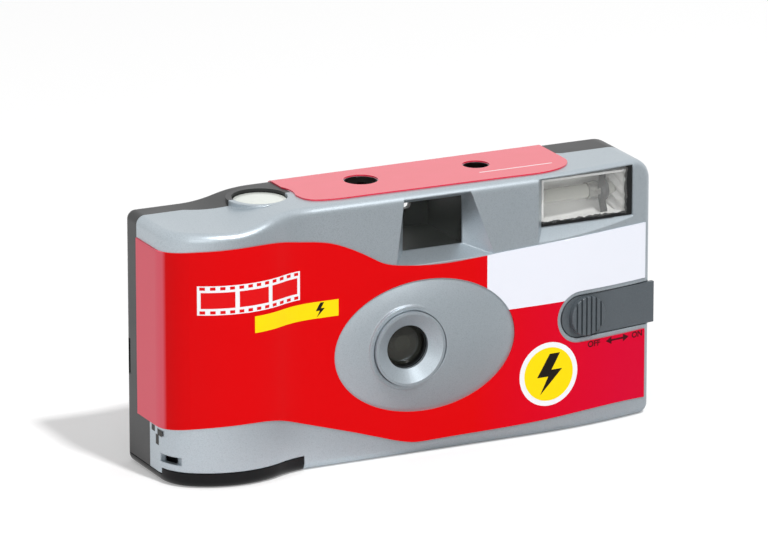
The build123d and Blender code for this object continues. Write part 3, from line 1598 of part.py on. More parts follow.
with BuildPart() as top_label:
    add(skin_form)
    add(outer_form, mode=Mode.SUBTRACT)
    with BuildSketch(Plane.XY.offset(top_label_low)):
        with BuildLine():
            edge = Spline(*shared_points(top_label_shares, -body_left_x, back_y))
            Polyline(edge @ 1, ((edge @ 1).X, far_y), ((edge @ 0).X, far_y), edge @ 0)
        make_face()
    extrude(amount=body_height, mode=Mode.INTERSECT)
    rod((counter_hole_x, hole_y, 0), up, far_y, counter_hole_radius + label_gap, Mode.SUBTRACT)
    rod((lamp_x, lamp_y, 0), up, far_y, lamp_hole_radius + label_gap, Mode.SUBTRACT)
    rod((button_x, button_y, 0), up, far_y, collar_outer + label_gap, Mode.SUBTRACT)
    with BuildSketch(facing(far_y)):
        with Locations((finder_x, eyepiece_z)):
            RectangleRounded(
                eyepiece_width + 2 * label_gap, eyepiece_height + 2 * label_gap, eyepiece_corner
            )
    extrude(amount=far_y, mode=Mode.SUBTRACT)
top_label.part.label = "top_label"
export_step(top_label.part, "parts/top_label.step")

with BuildPart() as rear_label:
    with BuildSketch(facing(back_y + label_thickness)):
        with Locations((0, rear_label_z)):
            RectangleRounded(rear_label_width, rear_label_height, rear_label_corner)
    extrude(amount=label_thickness)
rear_label.part.label = "rear_label"
export_step(rear_label.part, "parts/rear_label.step")
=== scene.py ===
"""Looks of a single-use film camera with a built-in flash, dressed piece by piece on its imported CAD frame."""
import math

import bmesh
import bpy
from mathutils import Matrix, Vector
from mathutils.bvhtree import BVHTree


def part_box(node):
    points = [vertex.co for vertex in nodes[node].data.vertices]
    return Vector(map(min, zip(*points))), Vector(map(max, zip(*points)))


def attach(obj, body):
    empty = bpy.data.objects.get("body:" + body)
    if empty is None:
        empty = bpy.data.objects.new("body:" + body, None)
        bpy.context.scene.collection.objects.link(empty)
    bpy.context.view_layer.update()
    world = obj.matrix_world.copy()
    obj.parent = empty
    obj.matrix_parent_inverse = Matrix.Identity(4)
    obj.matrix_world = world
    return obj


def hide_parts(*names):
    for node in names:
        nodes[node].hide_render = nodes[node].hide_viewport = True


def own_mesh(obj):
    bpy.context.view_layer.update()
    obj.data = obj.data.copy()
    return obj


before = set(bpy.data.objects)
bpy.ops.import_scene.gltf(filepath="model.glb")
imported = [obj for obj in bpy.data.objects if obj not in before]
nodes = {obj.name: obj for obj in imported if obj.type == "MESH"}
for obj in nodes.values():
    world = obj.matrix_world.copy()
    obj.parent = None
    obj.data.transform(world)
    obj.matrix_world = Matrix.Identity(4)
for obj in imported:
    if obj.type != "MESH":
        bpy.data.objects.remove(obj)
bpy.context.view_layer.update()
mm = 0.001

# Front cover: the silver half of the case, injection-moulded in ABS with aluminium flake in the melt.
# The flake gives a satin blue-grey with a fine glint, and the melt's flow leaves faint clouds in it.
# The walls of its two top holes are painted near black, as painted shade for the shadow that falls inside them.


def linear(hex_colour):
    """sRGB hex value as linear red, green and blue, with full alpha."""
    channels = [int(hex_colour[at:at + 2], 16) / 255 for at in (0, 2, 4)]
    return tuple(c / 12.92 if c <= 0.04045 else ((c + 0.055) / 1.055) ** 2.4 for c in channels) + (1.0,)


def add_node(tree, kind, inputs=None, **settings):
    """Adds a node; each input is given by name or number, as a value or as another node's output."""
    made = tree.nodes.new(kind)
    for name, value in settings.items():
        setattr(made, name, value)
    for name, value in (inputs or {}).items():
        if isinstance(value, bpy.types.NodeSocket):
            tree.links.new(value, made.inputs[name])
        else:
            made.inputs[name].default_value = value
    return made


def start_material(name):
    """An empty material, its node tree and the piece's own coordinates in metres."""
    material = bpy.data.materials.new(name)
    material.use_nodes = True
    material.node_tree.nodes.clear()
    place = add_node(material.node_tree, "ShaderNodeTexCoord").outputs["Object"]
    return material, material.node_tree, place


def dress(material, skin, *names):
    """Closes a material with its shader, and gives it to CAD nodes."""
    add_node(material.node_tree, "ShaderNodeOutputMaterial", {"Surface": skin.outputs[0]})
    for name in names:
        for slot in nodes[name].material_slots:
            slot.material = material


silver_abs, tree, place = start_material("silver_flake_abs")
flake_pitch = 0.22 * mm
flakes = add_node(tree, "ShaderNodeTexVoronoi", {"Vector": place, "Scale": 1 / flake_pitch})
flow_pitch = 14 * mm
flow = add_node(tree, "ShaderNodeTexNoise", {"Vector": place, "Scale": 1 / flow_pitch, "Detail": 3.0})
clouds = add_node(
    tree, "ShaderNodeMix", {0: flow.outputs["Fac"], 6: linear("B6C1C8"), 7: linear("C6CFD5")}, data_type="RGBA"
)
glint = add_node(
    tree, "ShaderNodeMix",
    {0: flakes.outputs["Distance"], 6: clouds.outputs[2], 7: linear("AAB4BB")}, data_type="RGBA",
)
axes = add_node(tree, "ShaderNodeSeparateXYZ", {"Vector": place})
flat_place = add_node(tree, "ShaderNodeCombineXYZ", {"X": axes.outputs["X"], "Y": axes.outputs["Y"]})
shaded = glint.outputs[2]
# Painted shade: round each top hole the silver is mixed to near black, standing in for the hole's shadow.
counter_hole_shade = (-6.15 * mm, 2.8 * mm, 3.75 * mm)
lamp_hole_shade = (22.2 * mm, 2.7 * mm, 2.9 * mm)
for hole_x, hole_y, hole_shade_radius in (counter_hole_shade, lamp_hole_shade):
    reach = add_node(
        tree, "ShaderNodeVectorMath", {0: flat_place.outputs["Vector"], 1: (hole_x, hole_y, 0)}, operation="DISTANCE"
    )
    in_hole_shade = add_node(tree, "ShaderNodeMath", {0: reach.outputs["Value"], 1: hole_shade_radius}, operation="LESS_THAN")
    # The near-black colour here is the painted shade of the hole walls.
    shaded = add_node(
        tree, "ShaderNodeMix", {0: in_hole_shade.outputs["Value"], 6: shaded, 7: linear("1E1A18")}, data_type="RGBA"
    ).outputs[2]
soft_edge = add_node(tree, "ShaderNodeBevel", {"Radius": 0.45 * mm}, samples=4)
grain = add_node(
    tree, "ShaderNodeBump",
    {
        "Height": flakes.outputs["Distance"],
        "Strength": 0.08,
        "Distance": 0.02 * mm,
        "Normal": soft_edge.outputs["Normal"],
    },
)
skin = add_node(
    tree, "ShaderNodeBsdfPrincipled",
    {"Base Color": shaded, "Metallic": 0.66, "Roughness": 0.36, "Normal": grain.outputs["Normal"]},
)
dress(silver_abs, skin, "front_cover")

# Back cover and film door: the other half of the case and its bottom flap, moulded in black ABS.
# The cover's mould is spark-eroded, for a fine matte grain that turns grey where light grazes it.
# The flap's is polished, so the flap is darker, with a low gloss.
black_abs, tree, place = start_material("spark_grained_black_abs")
grain_pitch = 0.35 * mm
pits = add_node(tree, "ShaderNodeTexNoise", {"Vector": place, "Scale": 1 / grain_pitch, "Detail": 2.0})
wear_pitch = 9 * mm
rub = add_node(tree, "ShaderNodeTexNoise", {"Vector": place, "Scale": 1 / wear_pitch, "Detail": 4.0})
sheen = add_node(tree, "ShaderNodeMapRange", {"Value": rub.outputs["Fac"], "To Min": 0.34, "To Max": 0.46})
grain = add_node(tree, "ShaderNodeBump", {"Height": pits.outputs["Fac"], "Strength": 0.25, "Distance": 0.03 * mm})
skin = add_node(
    tree, "ShaderNodeBsdfPrincipled",
    {"Base Color": linear("1C1D1E"), "Roughness": sheen.outputs["Result"], "Normal": grain.outputs["Normal"]},
)
dress(black_abs, skin, "back_cover")

door_abs, tree, place = start_material("polished_black_abs")
rub = add_node(tree, "ShaderNodeTexNoise", {"Vector": place, "Scale": 1 / wear_pitch, "Detail": 4.0})
sheen = add_node(tree, "ShaderNodeMapRange", {"Value": rub.outputs["Fac"], "To Min": 0.14, "To Max": 0.24})
skin = add_node(
    tree, "ShaderNodeBsdfPrincipled",
    {"Base Color": linear("08090C"), "Roughness": sheen.outputs["Result"], "Specular IOR Level": 0.2},
)
dress(door_abs, skin, "film_door")

# Chassis, light tunnel, film spools and metering lever: black polystyrene moulded matt, so that no light strays.
# It is a shade greyer than the case, with faint swirls.
black_styrene, tree, place = start_material("matt_black_polystyrene")
swirl_pitch = 3 * mm
swirls = add_node(tree, "ShaderNodeTexNoise", {"Vector": place, "Scale": 1 / swirl_pitch, "Distortion": 1.5})
shade = add_node(
    tree, "ShaderNodeMix", {0: swirls.outputs["Fac"], 6: linear("0A0B0B"), 7: linear("131414")}, data_type="RGBA"
)
skin = add_node(tree, "ShaderNodeBsdfPrincipled", {"Base Color": shade.outputs[2], "Roughness": 0.5})
dress(black_styrene, skin, "main_frame", "light_tunnel", "supply_spool", "cartridge_spool", "metering_lever")

# Lens holder: the same black polystyrene, polished in the mould where the barrel shows round the lens.
# Its front rim catches a thin grey highlight, over the faint rings that the mould's turning left.
barrel_black, tree, place = start_material("polished_black_polystyrene")
turning_pitch = 0.4 * mm
wave_factor = 20  # a wave texture multiplies each place by this
turned = add_node(
    tree, "ShaderNodeTexWave", {"Vector": place, "Scale": 1 / (wave_factor * turning_pitch)}, bands_direction="Y"
)
ridge = add_node(tree, "ShaderNodeBump", {"Height": turned.outputs["Fac"], "Strength": 0.1, "Distance": 0.02 * mm})
skin = add_node(
    tree, "ShaderNodeBsdfPrincipled",
    {"Base Color": linear("131415"), "Roughness": 0.22, "Normal": ridge.outputs["Normal"]},
)
dress(barrel_black, skin, "lens_holder")

# Taking lens: one moulded acrylic meniscus, smoky olive over the dark shutter behind it.
# Its polished surface gives a small sharp highlight.
acrylic, tree, place = start_material("clear_moulded_acrylic")
ripple_pitch = 4 * mm
ripple = add_node(tree, "ShaderNodeTexNoise", {"Vector": place, "Scale": 1 / ripple_pitch})
swell = add_node(tree, "ShaderNodeBump", {"Height": ripple.outputs["Fac"], "Strength": 0.05, "Distance": 0.05 * mm})
skin = add_node(
    tree, "ShaderNodeBsdfPrincipled",
    {
        "Base Color": linear("8E9084"),
        "Roughness": 0.03,
        "IOR": 1.49,
        "Transmission Weight": 0.9,
        "Normal": swell.outputs["Normal"],
    },
)
dress(acrylic, skin, "taking_lens")

# Viewfinder window and eyepiece: thin flat acrylic, clear enough to look straight through.
# It keeps a weak shine and a trace of haze.
thin_acrylic, tree, place = start_material("clear_acrylic_sheet")
haze = add_node(tree, "ShaderNodeTexNoise", {"Vector": place, "Scale": 1 / ripple_pitch, "Detail": 3.0})
tone = add_node(
    tree, "ShaderNodeMix", {0: haze.outputs["Fac"], 6: linear("8E9690"), 7: linear("B4BAB4")}, data_type="RGBA"
)
skin = add_node(
    tree, "ShaderNodeBsdfPrincipled", {"Base Color": tone.outputs[2], "Roughness": 0.04, "Alpha": 0.03}
)
dress(thin_acrylic, skin, "viewfinder_window", "viewfinder_eyepiece")

# Lens ring: a conical surround pressed into the cover, moulded in the same silver ABS.
# Its bowl is a little smoother than the case.
ring_abs, tree, place = start_material("satin_silver_abs")
flakes = add_node(tree, "ShaderNodeTexVoronoi", {"Vector": place, "Scale": 1 / flake_pitch})
glint = add_node(
    tree, "ShaderNodeMix",
    {0: flakes.outputs["Distance"], 6: linear("BCC6CD"), 7: linear("AAB4BB")}, data_type="RGBA",
)
skin = add_node(
    tree, "ShaderNodeBsdfPrincipled", {"Base Color": glint.outputs[2], "Metallic": 0.7, "Roughness": 0.4}
)
dress(ring_abs, skin, "lens_ring")

# Shutter blade and springs: blued spring-steel sheet and wire, blanked and tumbled.
# The rolling leaves fine lines along the sheet.
spring_steel, tree, place = start_material("blued_spring_steel")
rolling_pitch = 0.1 * mm
rolled_along_z = (1.0, 1.0, 0.05)
stretched = add_node(tree, "ShaderNodeMapping", {"Vector": place, "Scale": rolled_along_z})
lines = add_node(tree, "ShaderNodeTexNoise", {"Vector": stretched.outputs["Vector"], "Scale": 1 / rolling_pitch})
blue = add_node(
    tree, "ShaderNodeMix", {0: lines.outputs["Fac"], 6: linear("3A3D42"), 7: linear("565A60")}, data_type="RGBA"
)
skin = add_node(
    tree, "ShaderNodeBsdfPrincipled", {"Base Color": blue.outputs[2], "Metallic": 1.0, "Roughness": 0.35}
)
dress(spring_steel, skin, "shutter_blade", "shutter_spring", "striker_spring", "lever_spring", "button_spring")

# Flash reflector: a folded trough of bright-rolled aluminium foil on card.
# The rolling leaves long streaks along it, and the folding a soft crinkle.
bright_foil, tree, place = start_material("bright_rolled_aluminium")
streak_pitch = 0.5 * mm
foil_along_x = (0.04, 1.0, 1.0)
stretched = add_node(tree, "ShaderNodeMapping", {"Vector": place, "Scale": foil_along_x})
streaks = add_node(
    tree, "ShaderNodeTexNoise", {"Vector": stretched.outputs["Vector"], "Scale": 1 / streak_pitch, "Detail": 3.0}
)
tone = add_node(
    tree, "ShaderNodeMix", {0: streaks.outputs["Fac"], 6: linear("F2F2EE"), 7: linear("FFFFFF")}, data_type="RGBA"
)
crinkle = add_node(tree, "ShaderNodeBump", {"Height": streaks.outputs["Fac"], "Strength": 0.4, "Distance": 0.12 * mm})
skin = add_node(
    tree, "ShaderNodeBsdfPrincipled",
    {"Base Color": tone.outputs[2], "Metallic": 0.12, "Roughness": 0.3, "Normal": crinkle.outputs["Normal"]},
)
dress(bright_foil, skin, "flash_reflector")

# Flash tube: a small xenon tube of borosilicate glass with a metal cap at each end and a trigger band.
# The glass looks grey against the bright foil, with drawing lines along it.
tube_glass, tree, place = start_material("drawn_borosilicate_glass")
drawing_pitch = 0.3 * mm
drawn_along_x = (0.03, 1.0, 1.0)
stretched = add_node(tree, "ShaderNodeMapping", {"Vector": place, "Scale": drawn_along_x})
drawing = add_node(tree, "ShaderNodeTexNoise", {"Vector": stretched.outputs["Vector"], "Scale": 1 / drawing_pitch})
lines = add_node(tree, "ShaderNodeBump", {"Height": drawing.outputs["Fac"], "Strength": 0.1, "Distance": 0.02 * mm})
skin = add_node(
    tree, "ShaderNodeBsdfPrincipled",
    {
        "Base Color": linear("BEBEB6"),
        "Roughness": 0.12,
        "IOR": 1.47,
        "Transmission Weight": 0.15,
        "Normal": lines.outputs["Normal"],
    },
)
dress(tube_glass, skin, "flash_tube")

tinned_steel, tree, place = start_material("tinned_steel")
spangle_pitch = 0.8 * mm
spangle = add_node(tree, "ShaderNodeTexVoronoi", {"Vector": place, "Scale": 1 / spangle_pitch})
tone = add_node(
    tree, "ShaderNodeMix", {0: spangle.outputs["Distance"], 6: linear("B9B8B2"), 7: linear("8E8D88")}, data_type="RGBA"
)
skin = add_node(
    tree, "ShaderNodeBsdfPrincipled", {"Base Color": tone.outputs[2], "Metallic": 1.0, "Roughness": 0.3}
)
dress(tinned_steel, skin, "flash_tube_ends", "trigger_band")

# Tube mount: a rubber grommet on the tube, a blacked clip that holds it, and the reflector's folded end.
# The end is the same foil, creased where it is tucked in; each point of its section has a share of the crease.
# The clip's and the end's values are in millimetres.
rubber, tree, place = start_material("black_silicone_rubber")
bloom_pitch = 0.8 * mm
bloom = add_node(tree, "ShaderNodeTexNoise", {"Vector": place, "Scale": 1 / bloom_pitch, "Detail": 3.0})
tone = add_node(
    tree, "ShaderNodeMix", {0: bloom.outputs["Fac"], 6: linear("0C0C0E"), 7: linear("26262A")}, data_type="RGBA"
)
skin = add_node(tree, "ShaderNodeBsdfPrincipled", {"Base Color": tone.outputs[2], "Roughness": 0.45})
dress(rubber, skin)


def keep(name, mesh, material, body):
    """Puts a finished mesh in the scene as a piece that rides on a body."""
    mesh.name = name
    mesh.materials.clear()
    mesh.materials.append(material)
    piece = bpy.data.objects.new(name, mesh)
    bpy.context.scene.collection.objects.link(piece)
    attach(piece, body)
    return piece


tube_low, tube_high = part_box("flash_tube")
tube_centre = (tube_low + tube_high) / 2
grommet_x = 50.6 * mm
grommet_forward = 0.6 * mm
grommet_radius = 2.4 * mm
width_share, depth_share, height_share = 0.55, 0.8, 1.05
lump_share = 0.12
lumps_up, lumps_across = 3, 4
grommet = bmesh.new()
bmesh.ops.create_uvsphere(grommet, u_segments=20, v_segments=12, radius=grommet_radius)
for corner in grommet.verts:
    across = math.cos(lumps_across * corner.co.y / grommet_radius)
    lump = 1 + lump_share * math.sin(lumps_up * corner.co.z / grommet_radius) * across
    corner.co = Vector((
        corner.co.x * width_share + grommet_x,
        corner.co.y * depth_share * lump + tube_centre.y - grommet_forward,
        corner.co.z * height_share * lump + tube_centre.z,
    ))
for face in grommet.faces:
    face.smooth = True
grommet_mesh = bpy.data.meshes.new("tube_grommet")
grommet.to_mesh(grommet_mesh)
keep("tube_grommet", grommet_mesh, rubber, "camera")


def ribbon(name, rows, thickness, material):
    """A thin sheet through rows of points in millimetres, thickened evenly."""
    sheet = bmesh.new()
    lines = [[sheet.verts.new(tuple(value * mm for value in point)) for point in row] for row in rows]
    for upper, lower in zip(lines, lines[1:]):
        for at in range(len(upper) - 1):
            sheet.faces.new((upper[at], upper[at + 1], lower[at + 1], lower[at]))
    bmesh.ops.solidify(sheet, geom=sheet.faces[:], thickness=thickness * mm)
    bmesh.ops.recalc_face_normals(sheet, faces=sheet.faces[:])
    mesh = bpy.data.meshes.new(name)
    sheet.to_mesh(mesh)
    return keep(name, mesh, material, "camera")


clip_x = 49.3
clip_half_width = 0.9
clip_lean = 0.05
clip_thickness = 0.2
clip_top = 57.3
clip_bow = ((clip_top, -6.4), (55.6, -5.9), (54.2, -5.5), (52.75, -5.35), (51.3, -5.5), (49.8, -5.9), (48.2, -6.4))
clip_rows = [
    [(clip_x - side + clip_lean * (clip_top - z), y, z) for side in (-clip_half_width, clip_half_width)]
    for z, y in clip_bow
]
ribbon("tube_clip", clip_rows, clip_thickness, rubber)
end_top = 57.6
end_height = 9.7
end_rows_count = 8
end_crease = 0.35
end_thickness = 0.08
end_section = ((51.6, -2.6, 0.4), (52.6, -4.3, -1), (53.3, -6.0, 0.8), (53.9, -7.6, 0))
end_rows = []
for level in range(end_rows_count):
    z = end_top - level * end_height / (end_rows_count - 1)
    crease = end_crease * (-1) ** level
    end_rows.append([(x + crease * crease_share, y, z) for x, y, crease_share in end_section])
ribbon("reflector_end", end_rows, end_thickness, bright_foil)

# Flash window: a flat clear polycarbonate cover, moulded with very shallow upright prisms.
# Its right and bottom edges lie over the dark space beside the reflector; there the window is painted opaque near
# black, as painted shade.
window_plastic, tree, place = start_material("clear_polycarbonate")
prism_pitch = 1.2 * mm
shade_gap_right = 54.1 * mm
shade_gap_low = 48.25 * mm
shade_edge_wander = 0.6 * mm
axes = add_node(tree, "ShaderNodeSeparateXYZ", {"Vector": place})
fringe = add_node(tree, "ShaderNodeTexNoise", {"Vector": place, "Scale": 1 / prism_pitch, "Detail": 3.0})
wander = add_node(
    tree, "ShaderNodeMapRange", {"Value": fringe.outputs["Fac"], "To Min": -shade_edge_wander, "To Max": shade_edge_wander}
)
edge_x = add_node(tree, "ShaderNodeMath", {0: axes.outputs["X"], 1: wander.outputs["Result"]})
edge_z = add_node(tree, "ShaderNodeMath", {0: axes.outputs["Z"], 1: wander.outputs["Result"]})
right_gap_shade = add_node(tree, "ShaderNodeMath", {0: edge_x.outputs["Value"], 1: shade_gap_right}, operation="GREATER_THAN")
low_gap_shade = add_node(tree, "ShaderNodeMath", {0: edge_z.outputs["Value"], 1: shade_gap_low}, operation="LESS_THAN")
gap_shade = add_node(
    tree, "ShaderNodeMath", {0: right_gap_shade.outputs["Value"], 1: low_gap_shade.outputs["Value"]}, operation="MAXIMUM"
)
# Painted shade: near black and nearly opaque wherever the shade mask is set, with a wandering edge.
tone = add_node(
    tree, "ShaderNodeMix", {0: gap_shade.outputs["Value"], 6: linear("F4F6F4"), 7: linear("0C0E10")}, data_type="RGBA"
)
cover = add_node(tree, "ShaderNodeMapRange", {"Value": gap_shade.outputs["Value"], "To Min": 0.09, "To Max": 0.96})
prisms = add_node(
    tree, "ShaderNodeTexWave", {"Vector": place, "Scale": 1 / (wave_factor * prism_pitch)}, bands_direction="X"
)
relief = add_node(tree, "ShaderNodeBump", {"Height": prisms.outputs["Fac"], "Strength": 0.06, "Distance": 0.03 * mm})
skin = add_node(
    tree, "ShaderNodeBsdfPrincipled",
    {
        "Base Color": tone.outputs[2],
        "Roughness": 0.06,
        "Alpha": cover.outputs["Result"],
        "Normal": relief.outputs["Normal"],
    },
)
dress(window_plastic, skin, "flash_window")

# Circuit board: brown phenolic paper laminate with fine fibres, and the parts soldered to it.
# The sleeves, coils and chips each have their own plain finish.
laminate, tree, place = start_material("brown_phenolic_laminate")
fibre_pitch = 0.5 * mm
fibre = add_node(tree, "ShaderNodeTexNoise", {"Vector": place, "Scale": 1 / fibre_pitch, "Detail": 5.0})
tone = add_node(
    tree, "ShaderNodeMix", {0: fibre.outputs["Fac"], 6: linear("8A6236"), 7: linear("A97C48")}, data_type="RGBA"
)
skin = add_node(tree, "ShaderNodeBsdfPrincipled", {"Base Color": tone.outputs[2], "Roughness": 0.45})
dress(laminate, skin, "circuit_board")

sleeve, tree, place = start_material("shrunk_vinyl_sleeve")
stripe_pitch = 6 * mm
bands = add_node(
    tree, "ShaderNodeTexWave", {"Vector": place, "Scale": 1 / (wave_factor * stripe_pitch)}, bands_direction="X"
)
tone = add_node(
    tree, "ShaderNodeMix", {0: bands.outputs["Fac"], 6: linear("14161A"), 7: linear("2B2F38")}, data_type="RGBA"
)
skin = add_node(tree, "ShaderNodeBsdfPrincipled", {"Base Color": tone.outputs[2], "Roughness": 0.3})
dress(sleeve, skin, "flash_capacitor", "transistor", "diode")

enamelled_wire, tree, place = start_material("enamelled_copper_wire")
wire_pitch = 0.3 * mm
turns = add_node(
    tree, "ShaderNodeTexWave", {"Vector": place, "Scale": 1 / (wave_factor * wire_pitch)}, bands_direction="X"
)
tone = add_node(
    tree, "ShaderNodeMix", {0: turns.outputs["Fac"], 6: linear("7A3315"), 7: linear("C8713A")}, data_type="RGBA"
)
wound = add_node(tree, "ShaderNodeBump", {"Height": turns.outputs["Fac"], "Distance": 0.1 * mm})
skin = add_node(
    tree, "ShaderNodeBsdfPrincipled",
    {"Base Color": tone.outputs[2], "Metallic": 0.8, "Roughness": 0.35, "Normal": wound.outputs["Normal"]},
)
dress(enamelled_wire, skin, "transformer", "trigger_coil")

carbon_film, tree, place = start_material("lacquered_resistor")
code_pitch = 1.4 * mm
bands = add_node(
    tree, "ShaderNodeTexWave", {"Vector": place, "Scale": 1 / (wave_factor * code_pitch)}, bands_direction="X"
)
tone = add_node(
    tree, "ShaderNodeMix", {0: bands.outputs["Fac"], 6: linear("6E3B1E"), 7: linear("D8BE8A")}, data_type="RGBA"
)
skin = add_node(tree, "ShaderNodeBsdfPrincipled", {"Base Color": tone.outputs[2], "Roughness": 0.35})
dress(carbon_film, skin, "resistor")

# Contacts: strips of sheet brass, blanked and bent, dulled by handling.
# The sheet shows fine rolling lines.
sheet_brass, tree, place = start_material("rolled_sheet_brass")
brass_line_pitch = 0.2 * mm
brass_along_x = (0.1, 1.0, 1.0)
stretched = add_node(tree, "ShaderNodeMapping", {"Vector": place, "Scale": brass_along_x})
lines = add_node(tree, "ShaderNodeTexNoise", {"Vector": stretched.outputs["Vector"], "Scale": 1 / brass_line_pitch})
tone = add_node(
    tree, "ShaderNodeMix", {0: lines.outputs["Fac"], 6: linear("B08D4A"), 7: linear("D2B26A")}, data_type="RGBA"
)
skin = add_node(
    tree, "ShaderNodeBsdfPrincipled", {"Base Color": tone.outputs[2], "Metallic": 1.0, "Roughness": 0.32}
)
dress(sheet_brass, skin, "sync_contacts", "switch_terminals", "switch_clip", "positive_contact", "negative_contact")

# Battery and film cartridge: printed steel cans, and the film with its dark emulsion.
# The battery has a plain dark jacket with a bright end band, and the cartridge plain grey paint.
jacket, tree, place = start_material("printed_battery_jacket")
end_band_from = 10 * mm
along = add_node(tree, "ShaderNodeSeparateXYZ", {"Vector": place})
band = add_node(tree, "ShaderNodeMath", {0: along.outputs["X"], 1: end_band_from}, operation="GREATER_THAN")
tone = add_node(
    tree, "ShaderNodeMix", {0: band.outputs["Value"], 6: linear("23303C"), 7: linear("B98A3C")}, data_type="RGBA"
)
skin = add_node(
    tree, "ShaderNodeBsdfPrincipled", {"Base Color": tone.outputs[2], "Metallic": 0.6, "Roughness": 0.3}
)
dress(jacket, skin, "battery")

can_paint, tree, place = start_material("painted_tinplate")
paint_peel_pitch = 0.6 * mm
peel = add_node(tree, "ShaderNodeTexNoise", {"Vector": place, "Scale": 1 / paint_peel_pitch})
tone = add_node(
    tree, "ShaderNodeMix", {0: peel.outputs["Fac"], 6: linear("4C5258"), 7: linear("5F666D")}, data_type="RGBA"
)
skin = add_node(
    tree, "ShaderNodeBsdfPrincipled", {"Base Color": tone.outputs[2], "Metallic": 0.5, "Roughness": 0.35}
)
dress(can_paint, skin, "cartridge_can", "cartridge_end_caps")

film_base, tree, place = start_material("acetate_film")
emulsion_pitch = 5 * mm
emulsion = add_node(tree, "ShaderNodeTexNoise", {"Vector": place, "Scale": 1 / emulsion_pitch})
tone = add_node(
    tree, "ShaderNodeMix", {0: emulsion.outputs["Fac"], 6: linear("3B2A26"), 7: linear("4C3833")}, data_type="RGBA"
)
skin = add_node(tree, "ShaderNodeBsdfPrincipled", {"Base Color": tone.outputs[2], "Roughness": 0.15})
dress(film_base, skin, "film_strip", "film_roll")

# Thumbwheel: moulded black ABS with ribs, a little shinier than the case where thumbs rub it.
# The ribs are in the solid; the finish gives them worn crests.
wheel_abs, tree, place = start_material("rubbed_black_abs")
crest_wear_pitch = 2 * mm
rub = add_node(tree, "ShaderNodeTexNoise", {"Vector": place, "Scale": 1 / crest_wear_pitch, "Detail": 4.0})
sheen = add_node(tree, "ShaderNodeMapRange", {"Value": rub.outputs["Fac"], "To Min": 0.2, "To Max": 0.42})
skin = add_node(
    tree, "ShaderNodeBsdfPrincipled", {"Base Color": linear("1A1B1C"), "Roughness": sheen.outputs["Result"]}
)
dress(wheel_abs, skin, "thumbwheel")

# Sprocket, striker and pawl: slippery white acetal, moulded.
# It lets a little light in, so its edges look soft.
acetal, tree, place = start_material("white_acetal")
milk_pitch = 1.5 * mm
milk = add_node(tree, "ShaderNodeTexNoise", {"Vector": place, "Scale": 1 / milk_pitch})
tone = add_node(
    tree, "ShaderNodeMix", {0: milk.outputs["Fac"], 6: linear("E4E4DE"), 7: linear("F0F0EC")}, data_type="RGBA"
)
skin = add_node(
    tree, "ShaderNodeBsdfPrincipled",
    {"Base Color": tone.outputs[2], "Roughness": 0.35, "Subsurface Weight": 0.2, "Subsurface Scale": 0.5 * mm},
)
dress(acetal, skin, "sprocket", "striker_lever", "anti_reverse_pawl")

# Counter disc: a thin white disc with black printed numbers, seen through its hole in the top.
# The numbers go round it with a dot between each two.
dial_white, tree, place = start_material("white_polystyrene")
dial_haze_pitch = 2 * mm
haze = add_node(tree, "ShaderNodeTexNoise", {"Vector": place, "Scale": 1 / dial_haze_pitch})
tone = add_node(
    tree, "ShaderNodeMix", {0: haze.outputs["Fac"], 6: linear("E6E5E0"), 7: linear("F2F1EC")}, data_type="RGBA"
)
skin = add_node(tree, "ShaderNodeBsdfPrincipled", {"Base Color": tone.outputs[2], "Roughness": 0.35})
dress(dial_white, skin, "counter_disc")

screen_pitch = 0.3 * mm


def screen_ink(name, low_hex, high_hex):
    """Screen-printed ink: satin, with the screen's faint unevenness between two close shades."""
    ink, tree, place = start_material(name)
    screen = add_node(tree, "ShaderNodeTexNoise", {"Vector": place, "Scale": 1 / screen_pitch})
    tone = add_node(
        tree, "ShaderNodeMix", {0: screen.outputs["Fac"], 6: linear(low_hex), 7: linear(high_hex)}, data_type="RGBA"
    )
    skin = add_node(
        tree, "ShaderNodeBsdfPrincipled",
        {"Base Color": tone.outputs[2], "Roughness": 0.3, "Specular IOR Level": 0.15},
    )
    dress(ink, skin)
    return ink


def evaluated(host):
    """The plain mesh that a curve or a piece's modifiers give; the object itself goes."""
    bpy.context.scene.collection.objects.link(host)
    bpy.context.view_layer.update()
    mesh = bpy.data.meshes.new_from_object(host.evaluated_get(bpy.context.evaluated_depsgraph_get()))
    bpy.data.objects.remove(host)
    return mesh


def words(text, height):
    """Flat lettering as a mesh in the XY plane, centred on the origin."""
    weight_share = 0.025
    curve = bpy.data.curves.new("lettering", "FONT")
    curve.body = text
    curve.size = height
    curve.offset = weight_share * height
    curve.align_x = "CENTER"
    curve.align_y = "CENTER"
    return evaluated(bpy.data.objects.new("lettering", curve))


black_ink = screen_ink("black_screen_ink", "16130F", "24201B")


ink_lift = 0.02 * mm
dial_low, dial_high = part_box("counter_disc")
dial_centre = (dial_low + dial_high) / 2
dial_top = dial_high.z + ink_lift
number_radius = 6.4 * mm
number_height = 2.3 * mm
number_count = 12
number_step = 2
dot_radius = 0.25 * mm
numbers = bmesh.new()
for step in range(number_count):
    sign = words(str(number_step * (step + 1)), number_height)
    turn = -2 * math.pi * step / number_count
    sign.transform(
        Matrix.Translation((dial_centre.x, dial_centre.y, dial_top))
        @ Matrix.Rotation(turn, 4, "Z")
        @ Matrix.Translation((number_radius, 0, 0))
    )
    numbers.from_mesh(sign)
number_mesh = bpy.data.meshes.new("dial_numbers")
numbers.to_mesh(number_mesh)
keep("dial_numbers", number_mesh, black_ink, "counter")

